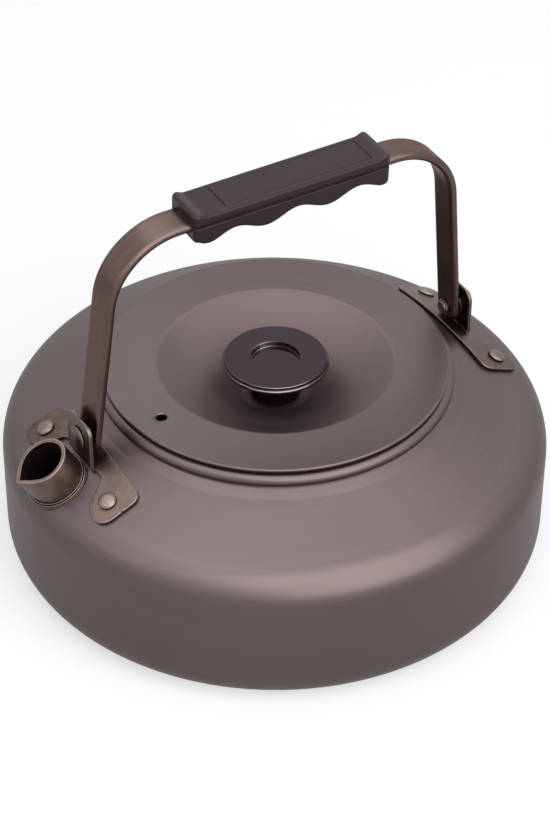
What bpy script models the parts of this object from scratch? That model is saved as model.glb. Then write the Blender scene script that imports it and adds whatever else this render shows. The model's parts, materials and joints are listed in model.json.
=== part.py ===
"""Camping kettle: a wide, low aluminium kettle with a lift-off lid, a short spout and a folding flat-bar bail.

Metres, +Z up. The origin is the centre of the base, on the ground. The bail turns about an axis along X,
between two ears: the front one at -X, beside the spout, and the rear one at +X.
"""
import math

import bmesh
import bpy
from mathutils import Matrix, Vector

# What touching pieces keep between them
GAP = 0.0003

# Shell: mouth, shoulder, corners and wall
MOUTH_RADIUS = 0.0539
SHOULDER_WIDTH = 0.0361
SHELL_WALL = 0.0015
BASE_CORNER = 0.0115
WALL_TOP = 0.0378
TOP_CORNER = 0.01445
SHOULDER_SLOPE = math.radians(25.0)
CREASE_OUT = 0.0068
BEAD_SECTION = 0.0020
BEAD_RISE = 0.0042
BEAD_FOOT = math.radians(-50.0)

# Lid: pressed sheet with a dish, a plug skirt and a steam hole
LID_SHEET = 0.0012
LID_LIP = 0.0028
DISH_INSET = 0.01515
DISH_LANDING = 0.0021
DISH_DEPTH = 0.0134
DISH_ROUND = 0.0030
SKIRT_CLEARANCE = 0.0005
SKIRT_WALL = 0.0012
SKIRT_DEPTH = 0.0062
STEAM_HOLE = 0.0019
STEAM_HOLE_INSET = 0.0066
STEAM_HOLE_TURN = math.radians(189.5)

# Knob and the screw that holds it
KNOB_RADIUS = 0.0175
KNOB_HEIGHT = 0.0141
KNOB_DISC = 0.0026
STEM_RADIUS = 0.0089
STEM_WAIST = 0.0078
STEM_HEAD = 0.0106
STEM_FLARE = 0.0007
WAIST_LOW = 0.35
WAIST_HIGH = 0.60
DIMPLE_RADIUS = 0.0084
DIMPLE_DEPTH = 0.0013
SCREW_RADIUS = 0.0020
SCREW_REACH = 0.0080
SCREW_HEAD_RADIUS = 0.0040
SCREW_HEAD = 0.0022
WASHER_RADIUS = 0.0060
WASHER_SHEET = 0.0010

# Spout, leaning out from the shoulder
SPOUT_CLEARANCE = 0.0004
SPOUT_LEAN = math.radians(29.0)
SPOUT_RADIUS = 0.0091
SPOUT_WALL = 0.0015
SPOUT_LENGTH = 0.0110
SPOUT_PINCH = 0.12
SPOUT_TAPER = 0.36
SPOUT_BEAK = 0.0012
SPOUT_ROOT = 0.0065
FLARE_OUT = 0.0011
FLARE_TOP = 0.0025
FLARE_RISE = 0.0005
COLLAR_RADIUS = 0.0106
COLLAR_STEP = 0.0004
COLLAR_RISE = 0.0005
COLLAR_TOP = 0.0013
COLLAR_STEPS = 3

# Bail: flat bar with splayed legs
STRIP_WIDTH = 0.0105
STRIP_THICKNESS = 0.0028
STRIP_ROUND = 0.00125
BAIL_STANDOFF = 0.0141
BAIL_HEIGHT = 0.0718
BEND_RADIUS = 0.0237
END_CLEARANCE = 0.0005
BAIL_LEAN = math.radians(2.4)

# Brackets: two wings that follow the shoulder and an upright ear
PLATE = 0.0010
EAR = 0.0012
EAR_HALF_WIDTH = 0.0076
EAR_ABOVE_PIVOT = 0.0076
EAR_ROUND = 0.0035
PLATE_BACK = 0.0065
PLATE_RELIEF = 0.0006
PLATE_ROUND = 0.0030
WING_ROUND = 0.0040
FLARE_ROUND = 0.0025
TAB_INSET = 0.0002
WING_REACH = 0.0082
WING_START = 0.0048
WING_FLARE = 0.0057
WING_MARGIN = 0.0063
RIVET_BESIDE = 0.0133
RIVET_OUT = 0.0020

# Rivets and pivot hardware
RIVET_RADIUS = 0.0016
RIVET_HEAD_RADIUS = 0.0030
RIVET_HEAD = 0.0013
RIVET_TAIL_RADIUS = 0.0026
RIVET_TAIL = 0.0010
PIVOT_RADIUS = 0.0020
PIVOT_HEAD_RADIUS = 0.0041
PIVOT_HEAD = 0.0011
PIVOT_TAIL_RADIUS = 0.0026
PIVOT_TAIL = 0.0014
SPACER_RADIUS = 0.0042
SPACER_SHEET = 0.0005

# Grip: two moulded halves round the bar
GRIP_HALF_LENGTH = 0.0351
GRIP_SETBACK = 0.0038
GRIP_WALL = 0.00195
GRIP_CAP = 0.0025
GRIP_BODY = 0.0037
GRIP_PARTING = 0.0008
GRIP_LIP = 0.0013
GRIP_LIP_LENGTH = 0.0024
GRIP_LIP_ROUND = 0.0010
GRIP_RIM = 0.0016
GRIP_POCKET = 0.0015
GRIP_ROUND = 0.0012
GRIP_END_ROUND = 0.0036
FINGER_GROOVES = 3
FINGER_DEPTH = 0.0024
PANEL_HALF_LENGTH = 0.0262
PANEL_SHIFT = 0.0030
PANEL_HALF_WIDTH = 0.0054
PANEL_DEPTH = 0.0004

# How far a tool that cuts a hole reaches, and how near two points are when they are one
REACH = 0.010
SAME = 0.000001

# How finely round things are drawn
SHELL_STEPS = 64
KNOB_STEPS = 40
SPOUT_STEPS = 32
SPOUT_RINGS = 4
RIVET_STEPS = 16
BEND_STEPS = 10
END_STEPS = 4

# Places worked out from the sizes above
SHELL_RADIUS = MOUTH_RADIUS + SHOULDER_WIDTH
CORNER_X = SHELL_RADIUS - TOP_CORNER
CREASE_X = MOUTH_RADIUS + CREASE_OUT
TANGENT_X = CORNER_X + TOP_CORNER * math.sin(SHOULDER_SLOPE)
TANGENT_Z = WALL_TOP + TOP_CORNER * math.cos(SHOULDER_SLOPE)
CREASE_Z = TANGENT_Z + (TANGENT_X - CREASE_X) * math.tan(SHOULDER_SLOPE)
BEAD_X = MOUTH_RADIUS + BEAD_SECTION
BEAD_Z = CREASE_Z + BEAD_RISE
LID_SEAT = BEAD_Z + BEAD_SECTION + GAP
LID_RADIUS = MOUTH_RADIUS + LID_LIP
LID_TOP = LID_SEAT + LID_SHEET
DISH_FLOOR_Z = LID_TOP - DISH_DEPTH
SLOPE_STEP = 1.0 / math.cos(SHOULDER_SLOPE)


DISH_RADIUS = MOUTH_RADIUS - DISH_INSET
STEAM_HOLE_OUT = MOUTH_RADIUS - STEAM_HOLE_INSET


def shoulder_at(radius):
    """Height and slope of the shell's outer surface, on the straight shoulder or the corner round it."""
    if radius <= TANGENT_X:
        return TANGENT_Z + (TANGENT_X - radius) * math.tan(SHOULDER_SLOPE), SHOULDER_SLOPE
    slope = math.asin(min((radius - CORNER_X) / TOP_CORNER, 1.0))
    return WALL_TOP + TOP_CORNER * math.cos(slope), slope


# The bail: its straight top holds the grip, and its legs lean so that they meet both bends smoothly
STRIP_X = MOUTH_RADIUS + BAIL_STANDOFF
BEND_X = GRIP_HALF_LENGTH + GRIP_SETBACK
LEG_RUN = STRIP_X - BEND_X
LEG_RISE = BAIL_HEIGHT - BEND_RADIUS
LEG_SPLAY = math.acos(BEND_RADIUS / math.hypot(LEG_RUN, LEG_RISE)) - math.atan2(LEG_RISE, LEG_RUN)
STRIP_HALF_SLANT = 0.5 * STRIP_THICKNESS / math.cos(LEG_SPLAY)
STRIP_FOOT_X = STRIP_X - STRIP_HALF_SLANT

# The hinge: the bar's round ends clear the brackets, and each ear stands outside its spacer
PLATE_TOP = (GAP + PLATE) * SLOPE_STEP
PIVOT_Z = shoulder_at(STRIP_FOOT_X)[0] + PLATE_TOP + END_CLEARANCE + 0.5 * STRIP_WIDTH
SPACER_X = STRIP_X + STRIP_HALF_SLANT + SPACER_RADIUS * math.tan(LEG_SPLAY) + GAP
EAR_X = SPACER_X + SPACER_SHEET + GAP
EAR_OUT_X = EAR_X + EAR
PIVOT_TAIL_X = STRIP_FOOT_X - PIVOT_TAIL_RADIUS * math.tan(LEG_SPLAY) - GAP
RIVET_X = EAR_X + RIVET_OUT
RIVET_SPREAD = EAR_HALF_WIDTH + RIVET_BESIDE
SPOUT_X = EAR_OUT_X + SPOUT_CLEARANCE + SPOUT_RADIUS * math.cos(SPOUT_LEAN)


def arc(centre_x, centre_z, radius, start, end, count):
    """Points on an arc from angle start to angle end, both included, in radians."""
    step = (end - start) / count
    angles = [start + step * index for index in range(count + 1)]
    return [(centre_x + radius * math.cos(angle), centre_z + radius * math.sin(angle)) for angle in angles]


def rounded(corners, count=5):
    """A closed outline from (x, y, radius) corners, each rounded by an arc."""
    points = []
    for index, (x, y, radius) in enumerate(corners):
        corner = Vector((x, y))
        before = Vector(corners[index - 1][:2]) - corner
        after = Vector(corners[(index + 1) % len(corners)][:2]) - corner
        if radius == 0:
            points.append((x, y))
            continue
        before.normalize()
        after.normalize()
        half_angle = 0.5 * before.angle(after)
        centre = corner + (before + after).normalized() * radius / math.sin(half_angle)
        run = radius / math.tan(half_angle)
        start = corner + before * run - centre
        sweep = math.pi - 2 * half_angle
        turn = math.copysign(sweep, before.x * after.y - before.y * after.x)
        for step in range(count + 1):
            spoke = start.copy()
            spoke.rotate(Matrix.Rotation(-turn * step / count, 2))
            points.append(tuple(centre + spoke))
    return points


def collection(name):
    """A new collection, linked to the scene."""
    made = bpy.data.collections.new(name)
    bpy.context.scene.collection.children.link(made)
    return made


def material(name, colour, roughness, metallic):
    """A Principled BSDF material."""
    made = bpy.data.materials.new(name)
    made.use_nodes = True
    shader = made.node_tree.nodes["Principled BSDF"]
    shader.inputs["Base Color"].default_value = (*colour, 1.0)
    shader.inputs["Roughness"].default_value = roughness
    shader.inputs["Metallic"].default_value = metallic
    return made


def add(name, mesh, place, group):
    """An object with this mesh, at this place, in this collection."""
    made = bpy.data.objects.new(name, mesh)
    made.matrix_world = place
    group.objects.link(made)
    return made


def revolved(name, profile, place, group, steps, closed=False):
    """A turned solid: a profile of (radius, height) points with a Screw modifier."""
    mesh = bpy.data.meshes.new(name)
    edges = [(index, index + 1) for index in range(len(profile) - 1)]
    if closed:
        edges.append((len(profile) - 1, 0))
    mesh.from_pydata([(radius, 0.0, height) for radius, height in profile], edges, [])
    made = add(name, mesh, place, group)
    screw = made.modifiers.new("Turn", "SCREW")
    screw.steps = steps
    screw.render_steps = steps
    screw.use_merge_vertices = True
    screw.merge_threshold = SAME
    screw.use_smooth_shade = True
    return made


def meshed(source, group):
    """Replaces a curve object by a welded mesh object with the same name and place."""
    name = source.name
    place = source.matrix_world.copy()
    bpy.context.view_layer.update()
    graph = bpy.context.evaluated_depsgraph_get()
    mesh = bpy.data.meshes.new_from_object(source.evaluated_get(graph))
    shape = bmesh.new()
    shape.from_mesh(mesh)
    bmesh.ops.remove_doubles(shape, verts=shape.verts, dist=SAME)
    bmesh.ops.recalc_face_normals(shape, faces=shape.faces)
    shape.to_mesh(mesh)
    shape.free()
    bpy.data.objects.remove(source)
    return add(name, mesh, place, group)


def plate(name, outline, thickness, place, group, edge=0.0):
    """A flat outline extruded to a thickness about its own plane, with round edges if edge is given."""
    curve = bpy.data.curves.new(name, "CURVE")
    curve.dimensions = "2D"
    curve.fill_mode = "BOTH"
    curve.extrude = 0.5 * thickness - edge
    curve.bevel_depth = edge
    curve.bevel_resolution = 2
    curve.offset = -edge
    spline = curve.splines.new("POLY")
    spline.points.add(len(outline) - 1)
    for point, (x, y) in zip(spline.points, outline):
        point.co = (x, y, 0.0, 1.0)
    spline.use_cyclic_u = True
    return meshed(add(name, curve, place, group), group)


def cylinder(name, radius, length, place, group, steps):
    """A cylinder about its own Z axis, centred on its place."""
    shape = bmesh.new()
    bmesh.ops.create_cone(
        shape, cap_ends=True, segments=steps, radius1=radius, radius2=radius, depth=length)
    mesh = bpy.data.meshes.new(name)
    shape.to_mesh(mesh)
    shape.free()
    return add(name, mesh, place, group)


def box(name, low, high, place, group):
    """A box between two corners."""
    shape = bmesh.new()
    bmesh.ops.create_cube(shape, size=1.0)
    size = [top - bottom for bottom, top in zip(low, high)]
    middle = [0.5 * (top + bottom) for bottom, top in zip(low, high)]
    bmesh.ops.scale(shape, vec=size, verts=shape.verts)
    bmesh.ops.translate(shape, vec=middle, verts=shape.verts)
    mesh = bpy.data.meshes.new(name)
    shape.to_mesh(mesh)
    shape.free()
    return add(name, mesh, place, group)


def combine(target, tool, operation):
    """A Boolean modifier on target. The tool becomes a hidden guide."""
    tool.hide_render = True
    tool.display_type = "WIRE"
    modifier = target.modifiers.new(tool.name, "BOOLEAN")
    modifier.operation = operation
    modifier.object = tool


def finish(piece, look):
    """Gives a piece its material and smooth shading across its rounded faces."""
    piece.data.materials.append(look)
    if piece.data.polygons:
        piece.data.shade_smooth()
        piece.data.set_sharp_from_angle(angle=math.radians(35.0))
    return piece


def spread(offset):
    """The shoulder line from the crease to the corner, moved out by an offset."""
    normal_x = math.sin(SHOULDER_SLOPE)
    normal_z = math.cos(SHOULDER_SLOPE)
    start = (CREASE_X + offset * normal_x, CREASE_Z + offset * normal_z)
    bend = arc(CORNER_X, WALL_TOP, TOP_CORNER + offset, 0.5 * math.pi - SHOULDER_SLOPE, 0.0, 6)
    return [start] + bend


def over_shoulder(name, inner, outer, group):
    """A turned skin over the shoulder between two offsets from the shell's outer surface."""
    profile = spread(outer) + spread(inner)[::-1]
    return revolved(name, profile, Matrix(), group, SHELL_STEPS, closed=True)


def shoulder_frame(x, y):
    """Where an outward normal leaves the shell over (x, y): local Z is the normal."""
    height, slope = shoulder_at(math.hypot(x, y))
    turn = Matrix.Rotation(math.atan2(y, x), 4, "Z")
    lean = Matrix.Rotation(slope, 4, "Y")
    return Matrix.Translation((x, y, height)) @ turn @ lean


def spout_frame():
    """The spout's own frame: origin on the shoulder, local Z along the tube, local X up the shoulder."""
    lean = Matrix.Rotation(-SPOUT_LEAN, 4, "Y")
    return Matrix.Translation((-SPOUT_X, 0.0, shoulder_at(SPOUT_X)[0])) @ lean


def build_shell(parts, guides, look):
    """The spun shell: inside floor and wall up to the mouth, over the bead and down the outside."""
    inside = [(0.0, SHELL_WALL)]
    inside += arc(SHELL_RADIUS - BASE_CORNER, BASE_CORNER, BASE_CORNER - SHELL_WALL, -0.5 * math.pi, 0.0, 3)
    inside += spread(-SHELL_WALL)[::-1]
    inside.append((MOUTH_RADIUS + 0.5 * SHELL_WALL, BEAD_Z - BEAD_SECTION - SHELL_WALL))
    inside.append((MOUTH_RADIUS, BEAD_Z - BEAD_SECTION))
    bead = arc(BEAD_X, BEAD_Z, BEAD_SECTION, math.pi, BEAD_FOOT, 8)
    outside = spread(0.0)
    outside += arc(SHELL_RADIUS - BASE_CORNER, BASE_CORNER, BASE_CORNER, 0.0, -0.5 * math.pi, 5)
    outside.append((0.0, 0.0))
    shell = revolved("kettle_body", inside + bead + outside, Matrix(), parts, SHELL_STEPS)
    for name, side_x, side_y in rivet_spots():
        place = shoulder_frame(side_x, side_y)
        hole = cylinder(f"shell_hole_{name}", RIVET_RADIUS + GAP, REACH, place, guides, RIVET_STEPS)
        combine(shell, hole, "DIFFERENCE")
    through = cylinder(
        "spout_hole", SPOUT_RADIUS + GAP, 4 * SPOUT_RADIUS, spout_frame(), guides, SPOUT_STEPS)
    combine(shell, through, "DIFFERENCE")
    return finish(shell, look)


def rivet_spots():
    """Name, x and y of the four bracket rivets. Left is +Y."""
    spots = []
    for end, sign in (("front", -1), ("rear", 1)):
        for hand, across in (("left", 1), ("right", -1)):
            spots.append((f"{end}_{hand}", sign * RIVET_X, across * RIVET_SPREAD))
    return spots


def build_lid(parts, guides, look):
    """The lid, turned about its own seat on the bead, with the plug skirt below the rim."""
    top = LID_SHEET
    floor = top - DISH_DEPTH
    landing = STEM_RADIUS + DISH_LANDING
    run = DISH_RADIUS - landing
    slope = math.atan2(DISH_DEPTH, run)
    bend = DISH_ROUND * math.tan(0.5 * slope)
    hole = SCREW_RADIUS + GAP
    upper = [(hole, floor)]
    upper += arc(landing - bend, floor + DISH_ROUND, DISH_ROUND, -0.5 * math.pi, slope - 0.5 * math.pi, 3)
    upper += arc(DISH_RADIUS + bend, top - DISH_ROUND, DISH_ROUND, slope + 0.5 * math.pi, 0.5 * math.pi, 3)
    edge = 0.5 * LID_SHEET
    rim = arc(LID_RADIUS - edge, top - edge, edge, 0.5 * math.pi, -0.5 * math.pi, 4)
    skirt_out = MOUTH_RADIUS - SKIRT_CLEARANCE
    skirt_in = skirt_out - SKIRT_WALL
    skirt = [(skirt_out, 0.0), (skirt_out, -SKIRT_DEPTH), (skirt_in, -SKIRT_DEPTH), (skirt_in, 0.0)]
    inner = DISH_ROUND - LID_SHEET
    lower = arc(DISH_RADIUS + bend, top - DISH_ROUND, inner, 0.5 * math.pi, slope + 0.5 * math.pi, 3)
    outer = DISH_ROUND + LID_SHEET
    lower += arc(landing - bend, floor + DISH_ROUND, outer, slope - 0.5 * math.pi, -0.5 * math.pi, 3)
    lower.append((hole, floor - LID_SHEET))
    place = Matrix.Translation((0.0, 0.0, LID_SEAT))
    lid = revolved("lid", upper + rim + skirt + lower, place, parts, SHELL_STEPS, closed=True)
    steam_x = STEAM_HOLE_OUT * math.cos(STEAM_HOLE_TURN)
    steam_y = STEAM_HOLE_OUT * math.sin(STEAM_HOLE_TURN)
    at = Matrix.Translation((steam_x, steam_y, LID_SEAT))
    steam = cylinder("steam_hole", STEAM_HOLE, REACH, at, guides, RIVET_STEPS)
    combine(lid, steam, "DIFFERENCE")
    return finish(lid, look)


def build_knob(parts, knob_look, steel):
    """Knob, washer and screw, on the dish's floor. Heights run from the knob's foot."""
    foot = DISH_FLOOR_Z + GAP
    edge = 0.5 * KNOB_DISC
    under = KNOB_HEIGHT - KNOB_DISC
    bore = SCREW_RADIUS + GAP
    profile = [(0.0, KNOB_HEIGHT - DIMPLE_DEPTH)]
    profile.append((DIMPLE_RADIUS - DIMPLE_DEPTH, KNOB_HEIGHT - DIMPLE_DEPTH))
    profile.append((DIMPLE_RADIUS, KNOB_HEIGHT))
    profile += arc(KNOB_RADIUS - edge, KNOB_HEIGHT - edge, edge, 0.5 * math.pi, -0.5 * math.pi, 6)
    profile.append((STEM_HEAD, under - STEM_FLARE))
    profile.append((STEM_WAIST, WAIST_HIGH * under))
    profile.append((STEM_WAIST, WAIST_LOW * under))
    profile.append((STEM_RADIUS, 0.0))
    profile.append((bore, 0.0))
    profile.append((bore, SCREW_REACH + 2 * GAP))
    profile.append((0.0, SCREW_REACH + 2 * GAP))
    place = Matrix.Translation((0.0, 0.0, foot))
    finish(revolved("knob", profile, place, parts, KNOB_STEPS), knob_look)
    washer_top = DISH_FLOOR_Z - LID_SHEET - GAP
    ring = [(bore, 0.0), (WASHER_RADIUS, 0.0), (WASHER_RADIUS, -WASHER_SHEET), (bore, -WASHER_SHEET)]
    at = Matrix.Translation((0.0, 0.0, washer_top))
    finish(revolved("knob_washer", ring, at, parts, KNOB_STEPS, closed=True), steel)
    head_top = washer_top - WASHER_SHEET - GAP
    shank = foot + SCREW_REACH - head_top
    soft = 0.25 * SCREW_HEAD
    screw = [(0.0, shank), (SCREW_RADIUS, shank), (SCREW_RADIUS, 0.0), (SCREW_HEAD_RADIUS, 0.0)]
    screw.append((SCREW_HEAD_RADIUS, soft - SCREW_HEAD))
    screw.append((SCREW_HEAD_RADIUS - soft, -SCREW_HEAD))
    screw.append((0.0, -SCREW_HEAD))
    at = Matrix.Translation((0.0, 0.0, head_top))
    finish(revolved("knob_screw", screw, at, parts, KNOB_STEPS), steel)


def build_spout(parts, guides, look):
    """The tube, pinched to a lip at its mouth, its flare inside the shell and the collar outside it."""
    place = spout_frame()
    bore = SPOUT_RADIUS - SPOUT_WALL
    edge = 0.5 * SPOUT_WALL
    heights = [SPOUT_LENGTH * ring / SPOUT_RINGS for ring in range(SPOUT_RINGS)]
    profile = arc(SPOUT_RADIUS - edge, SPOUT_LENGTH - edge, edge, math.pi, 0.0, 4)
    profile += [(SPOUT_RADIUS, height) for height in reversed(heights)]
    profile += [(SPOUT_RADIUS, -SPOUT_ROOT), (bore, -SPOUT_ROOT)]
    profile += [(bore, height) for height in heights]
    draft = revolved("spout_draft", profile, Matrix(), guides, SPOUT_STEPS, closed=True)
    bpy.context.view_layer.update()
    graph = bpy.context.evaluated_depsgraph_get()
    mesh = bpy.data.meshes.new_from_object(draft.evaluated_get(graph))
    bpy.data.objects.remove(draft)
    for vertex in mesh.vertices:
        vertex.co = pinched(vertex.co)
    tube = add("spout_tube", mesh, place, parts)
    flare_radius = SPOUT_RADIUS + FLARE_OUT
    middle = 0.5 * (SPOUT_RADIUS + bore)
    low = FLARE_RISE - SPOUT_ROOT
    ring = [(middle, -FLARE_TOP), (flare_radius, -FLARE_TOP), (flare_radius, low), (middle, low)]
    flare = revolved("spout_flare", ring, place, guides, SPOUT_STEPS, closed=True)
    skin = over_shoulder("shell_skin", -SHELL_WALL - GAP, GAP, guides)
    combine(flare, skin, "DIFFERENCE")
    combine(tube, flare, "UNION")
    finish(tube, look)

    inner = SPOUT_RADIUS + GAP
    root = -2 * SPOUT_ROOT
    stack = [(inner, COLLAR_TOP)]
    for step in range(COLLAR_STEPS):
        radius = COLLAR_RADIUS - COLLAR_STEP * (COLLAR_STEPS - 1 - step)
        last = step == COLLAR_STEPS - 1
        stack.append((radius, COLLAR_TOP - COLLAR_RISE * step))
        stack.append((radius, root if last else COLLAR_TOP - COLLAR_RISE * (step + 1)))
    stack.append((inner, root))
    collar = revolved("spout_collar", stack, place, parts, SPOUT_STEPS, closed=True)
    solid = [(0.0, CREASE_Z)] + spread(GAP) + [(SHELL_RADIUS + GAP, 0.0), (0.0, 0.0)]
    below = revolved("below_shoulder", solid, Matrix(), guides, SHELL_STEPS)
    combine(collar, below, "DIFFERENCE")
    ear_side = box(
        "ear_side", (-EAR_OUT_X - GAP, -SHELL_RADIUS, 0.0), (0.0, SHELL_RADIUS, SHELL_RADIUS), Matrix(), guides)
    combine(collar, ear_side, "DIFFERENCE")
    finish(collar, look)


def pinched(point):
    """Moves a point of the spout: near the mouth the tube narrows across Y and draws out to a beak at -X."""
    rise = max(point.z / SPOUT_LENGTH, 0.0) ** 2
    around = max(-point.x / math.hypot(point.x, point.y), 0.0)
    beak = SPOUT_BEAK * rise * around ** 4
    squeeze = 1.0 - rise * (SPOUT_PINCH + SPOUT_TAPER * around ** 2)
    return Vector((point.x - beak, point.y * squeeze, point.z))


def build_bracket(end, turn, parts, guides, look):
    """One bracket: wings cut from a skin over the shoulder, joined to an upright ear."""
    wing_end = RIVET_SPREAD + WING_MARGIN
    wing_x = EAR_X + WING_REACH
    neck_x = EAR_X - PLATE_RELIEF
    neck_y = EAR_HALF_WIDTH + WING_START
    half = [
        (EAR_X - PLATE_BACK, wing_end, PLATE_ROUND),
        (wing_x, wing_end, WING_ROUND),
        (wing_x, neck_y + WING_FLARE, FLARE_ROUND),
        (neck_x, neck_y, FLARE_ROUND),
        (neck_x, EAR_HALF_WIDTH - TAB_INSET, 0.0),
        (EAR_OUT_X - TAB_INSET, EAR_HALF_WIDTH - TAB_INSET, 0.0),
    ]
    outline = rounded(half + [(x, -y, radius) for x, y, radius in reversed(half)])
    tall = 2 * SHELL_RADIUS
    wings = plate(f"{end}_bracket", outline, tall, turn, parts)
    skin = over_shoulder(f"{end}_skin", GAP, GAP + PLATE, guides)
    combine(wings, skin, "INTERSECT")

    ear_top = PIVOT_Z + EAR_ABOVE_PIVOT
    ear_low = shoulder_at(EAR_X)[0] + (GAP + 0.25 * PLATE) * SLOPE_STEP
    corners = [
        (EAR_HALF_WIDTH, ear_top, EAR_ROUND), (-EAR_HALF_WIDTH, ear_top, EAR_ROUND),
        (-EAR_HALF_WIDTH, ear_low, 0.0), (EAR_HALF_WIDTH, ear_low, 0.0)]
    stand = Matrix.Translation((EAR_X + 0.5 * EAR, 0.0, 0.0))
    upright = stand @ Matrix.Rotation(0.5 * math.pi, 4, "Z") @ Matrix.Rotation(0.5 * math.pi, 4, "X")
    ear = plate(f"{end}_ear", rounded(corners), EAR, turn @ upright, guides)
    combine(wings, ear, "UNION")

    lying = Matrix.Rotation(0.5 * math.pi, 4, "Y")
    pivot = turn @ Matrix.Translation((EAR_X, 0.0, PIVOT_Z)) @ lying
    eye = cylinder(f"{end}_eye", PIVOT_RADIUS + GAP, REACH, pivot, guides, RIVET_STEPS)
    combine(wings, eye, "DIFFERENCE")
    for name, x, y in rivet_spots():
        if name.startswith(end):
            place = shoulder_frame(x, y)
            hole = cylinder(f"wing_hole_{name}", RIVET_RADIUS + GAP, REACH, place, guides, RIVET_STEPS)
            combine(wings, hole, "DIFFERENCE")
    return finish(wings, look)


def dome(radius, height, base, count):
    """A shallow round cap from its edge to the axis, above a base height, from the axis outwards."""
    ball = (radius * radius + height * height) / (2 * height)
    reach = math.asin(radius / ball)
    return arc(0.0, base + height - ball, ball, 0.5 * math.pi, 0.5 * math.pi - reach, count)


def build_rivets(parts, look):
    """The four bracket rivets: domed head on the wing, flat tail inside the shell."""
    seat = GAP + PLATE + GAP
    tail = -SHELL_WALL - GAP
    profile = dome(RIVET_HEAD_RADIUS, RIVET_HEAD, seat, 4)
    profile += [(RIVET_RADIUS, seat), (RIVET_RADIUS, tail), (RIVET_TAIL_RADIUS, tail)]
    profile += [(RIVET_TAIL_RADIUS, tail - RIVET_TAIL), (0.0, tail - RIVET_TAIL)]
    for name, x, y in rivet_spots():
        place = shoulder_frame(x, y)
        finish(revolved(f"bracket_rivet_{name}", profile, place, parts, RIVET_STEPS), look)


def build_pivot(end, turn, parts, look):
    """A pivot rivet and its spacer. Local Z is outwards along the hinge axis, from the kettle's middle."""
    lying = Matrix.Rotation(0.5 * math.pi, 4, "Y")
    place = turn @ Matrix.Translation((0.0, 0.0, PIVOT_Z)) @ lying
    head = EAR_OUT_X + GAP
    tail = [(radius, 2 * PIVOT_TAIL_X - height) for radius, height in
            dome(PIVOT_TAIL_RADIUS, PIVOT_TAIL, PIVOT_TAIL_X, 4)]
    profile = dome(PIVOT_HEAD_RADIUS, PIVOT_HEAD, head, 4)
    profile += [(PIVOT_RADIUS, head), (PIVOT_RADIUS, PIVOT_TAIL_X)]
    profile += tail[::-1]
    finish(revolved(f"pivot_rivet_{end}", profile, place, parts, RIVET_STEPS), look)
    bore = PIVOT_RADIUS + GAP
    near = SPACER_X
    far = SPACER_X + SPACER_SHEET
    ring = [(bore, far), (SPACER_RADIUS, far), (SPACER_RADIUS, near), (bore, near)]
    finish(revolved(f"pivot_washer_{end}", ring, place, parts, RIVET_STEPS, closed=True), look)


def strip_section(half_width):
    """Half-width and half-thickness points of the bar's cross-section, with round edges."""
    edge = min(STRIP_ROUND, 0.8 * half_width)
    side = half_width - edge
    flat = 0.5 * STRIP_THICKNESS - edge
    points = []
    for quarter, (across, out) in enumerate(((1, 1), (-1, 1), (-1, -1), (1, -1))):
        start = 0.5 * math.pi * quarter
        points += arc(across * side, out * flat, edge, start, start + 0.5 * math.pi, 3)
    return points


def strip_stations():
    """Stations along the bar: x, height above the pivot, direction of the outward face, half-width."""
    half_width = 0.5 * STRIP_WIDTH
    stations = []
    for step in range(END_STEPS, 0, -1):
        angle = 0.5 * math.pi * step / (END_STEPS + 0.5)
        drop = half_width * math.sin(angle)
        x = STRIP_X + drop * math.sin(LEG_SPLAY)
        stations.append((x, -drop * math.cos(LEG_SPLAY), LEG_SPLAY, half_width * math.cos(angle)))
    stations.append((STRIP_X, 0.0, LEG_SPLAY, half_width))
    for step in range(BEND_STEPS + 1):
        angle = LEG_SPLAY + (0.5 * math.pi - LEG_SPLAY) * step / BEND_STEPS
        x = BEND_X + BEND_RADIUS * math.cos(angle)
        stations.append((x, LEG_RISE + BEND_RADIUS * math.sin(angle), angle, half_width))
    mirrored = [(-x, h, math.pi - angle, width) for x, h, angle, width in reversed(stations)]
    return stations + mirrored


def build_bail(parts, guides, hinge, look):
    """The bent bar: a loft of its section along the bail, narrowed to round ends, with two pivot eyes."""
    shape = bmesh.new()
    rings = []
    for x, h, angle, half_width in strip_stations():
        ring = []
        for across, out in strip_section(half_width):
            place = (x + out * math.cos(angle), across, h + out * math.sin(angle))
            ring.append(shape.verts.new(place))
        rings.append(ring)
    for one, two in zip(rings, rings[1:]):
        for index in range(len(one)):
            after = (index + 1) % len(one)
            shape.faces.new((one[index], one[after], two[after], two[index]))
    shape.faces.new(rings[0])
    shape.faces.new(rings[-1])
    bmesh.ops.recalc_face_normals(shape, faces=shape.faces)
    mesh = bpy.data.meshes.new("bail_strip")
    shape.to_mesh(mesh)
    shape.free()
    strip = add("bail_strip", mesh, Matrix(), parts)
    strip.parent = hinge
    lying = Matrix.Rotation(0.5 * math.pi, 4, "Y")
    for end, sign in (("front", -1), ("rear", 1)):
        at = Matrix.Translation((sign * STRIP_X, 0.0, 0.0)) @ lying
        eye = cylinder(f"{end}_bail_eye", PIVOT_RADIUS + GAP, REACH, at, guides, RIVET_STEPS)
        eye.parent = hinge
        combine(strip, eye, "DIFFERENCE")
    return finish(strip, look)


def grip_underside(low, length):
    """The scalloped lower edge of the grip, from +X to -X: a wave with one trough a finger."""
    count = 8 * FINGER_GROOVES
    points = []
    for index in range(count + 1):
        share = index / count
        wave = 0.5 - 0.5 * math.cos(2 * math.pi * FINGER_GROOVES * share)
        points.append((length * (1 - 2 * share), low + FINGER_DEPTH * wave))
    return points


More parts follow.
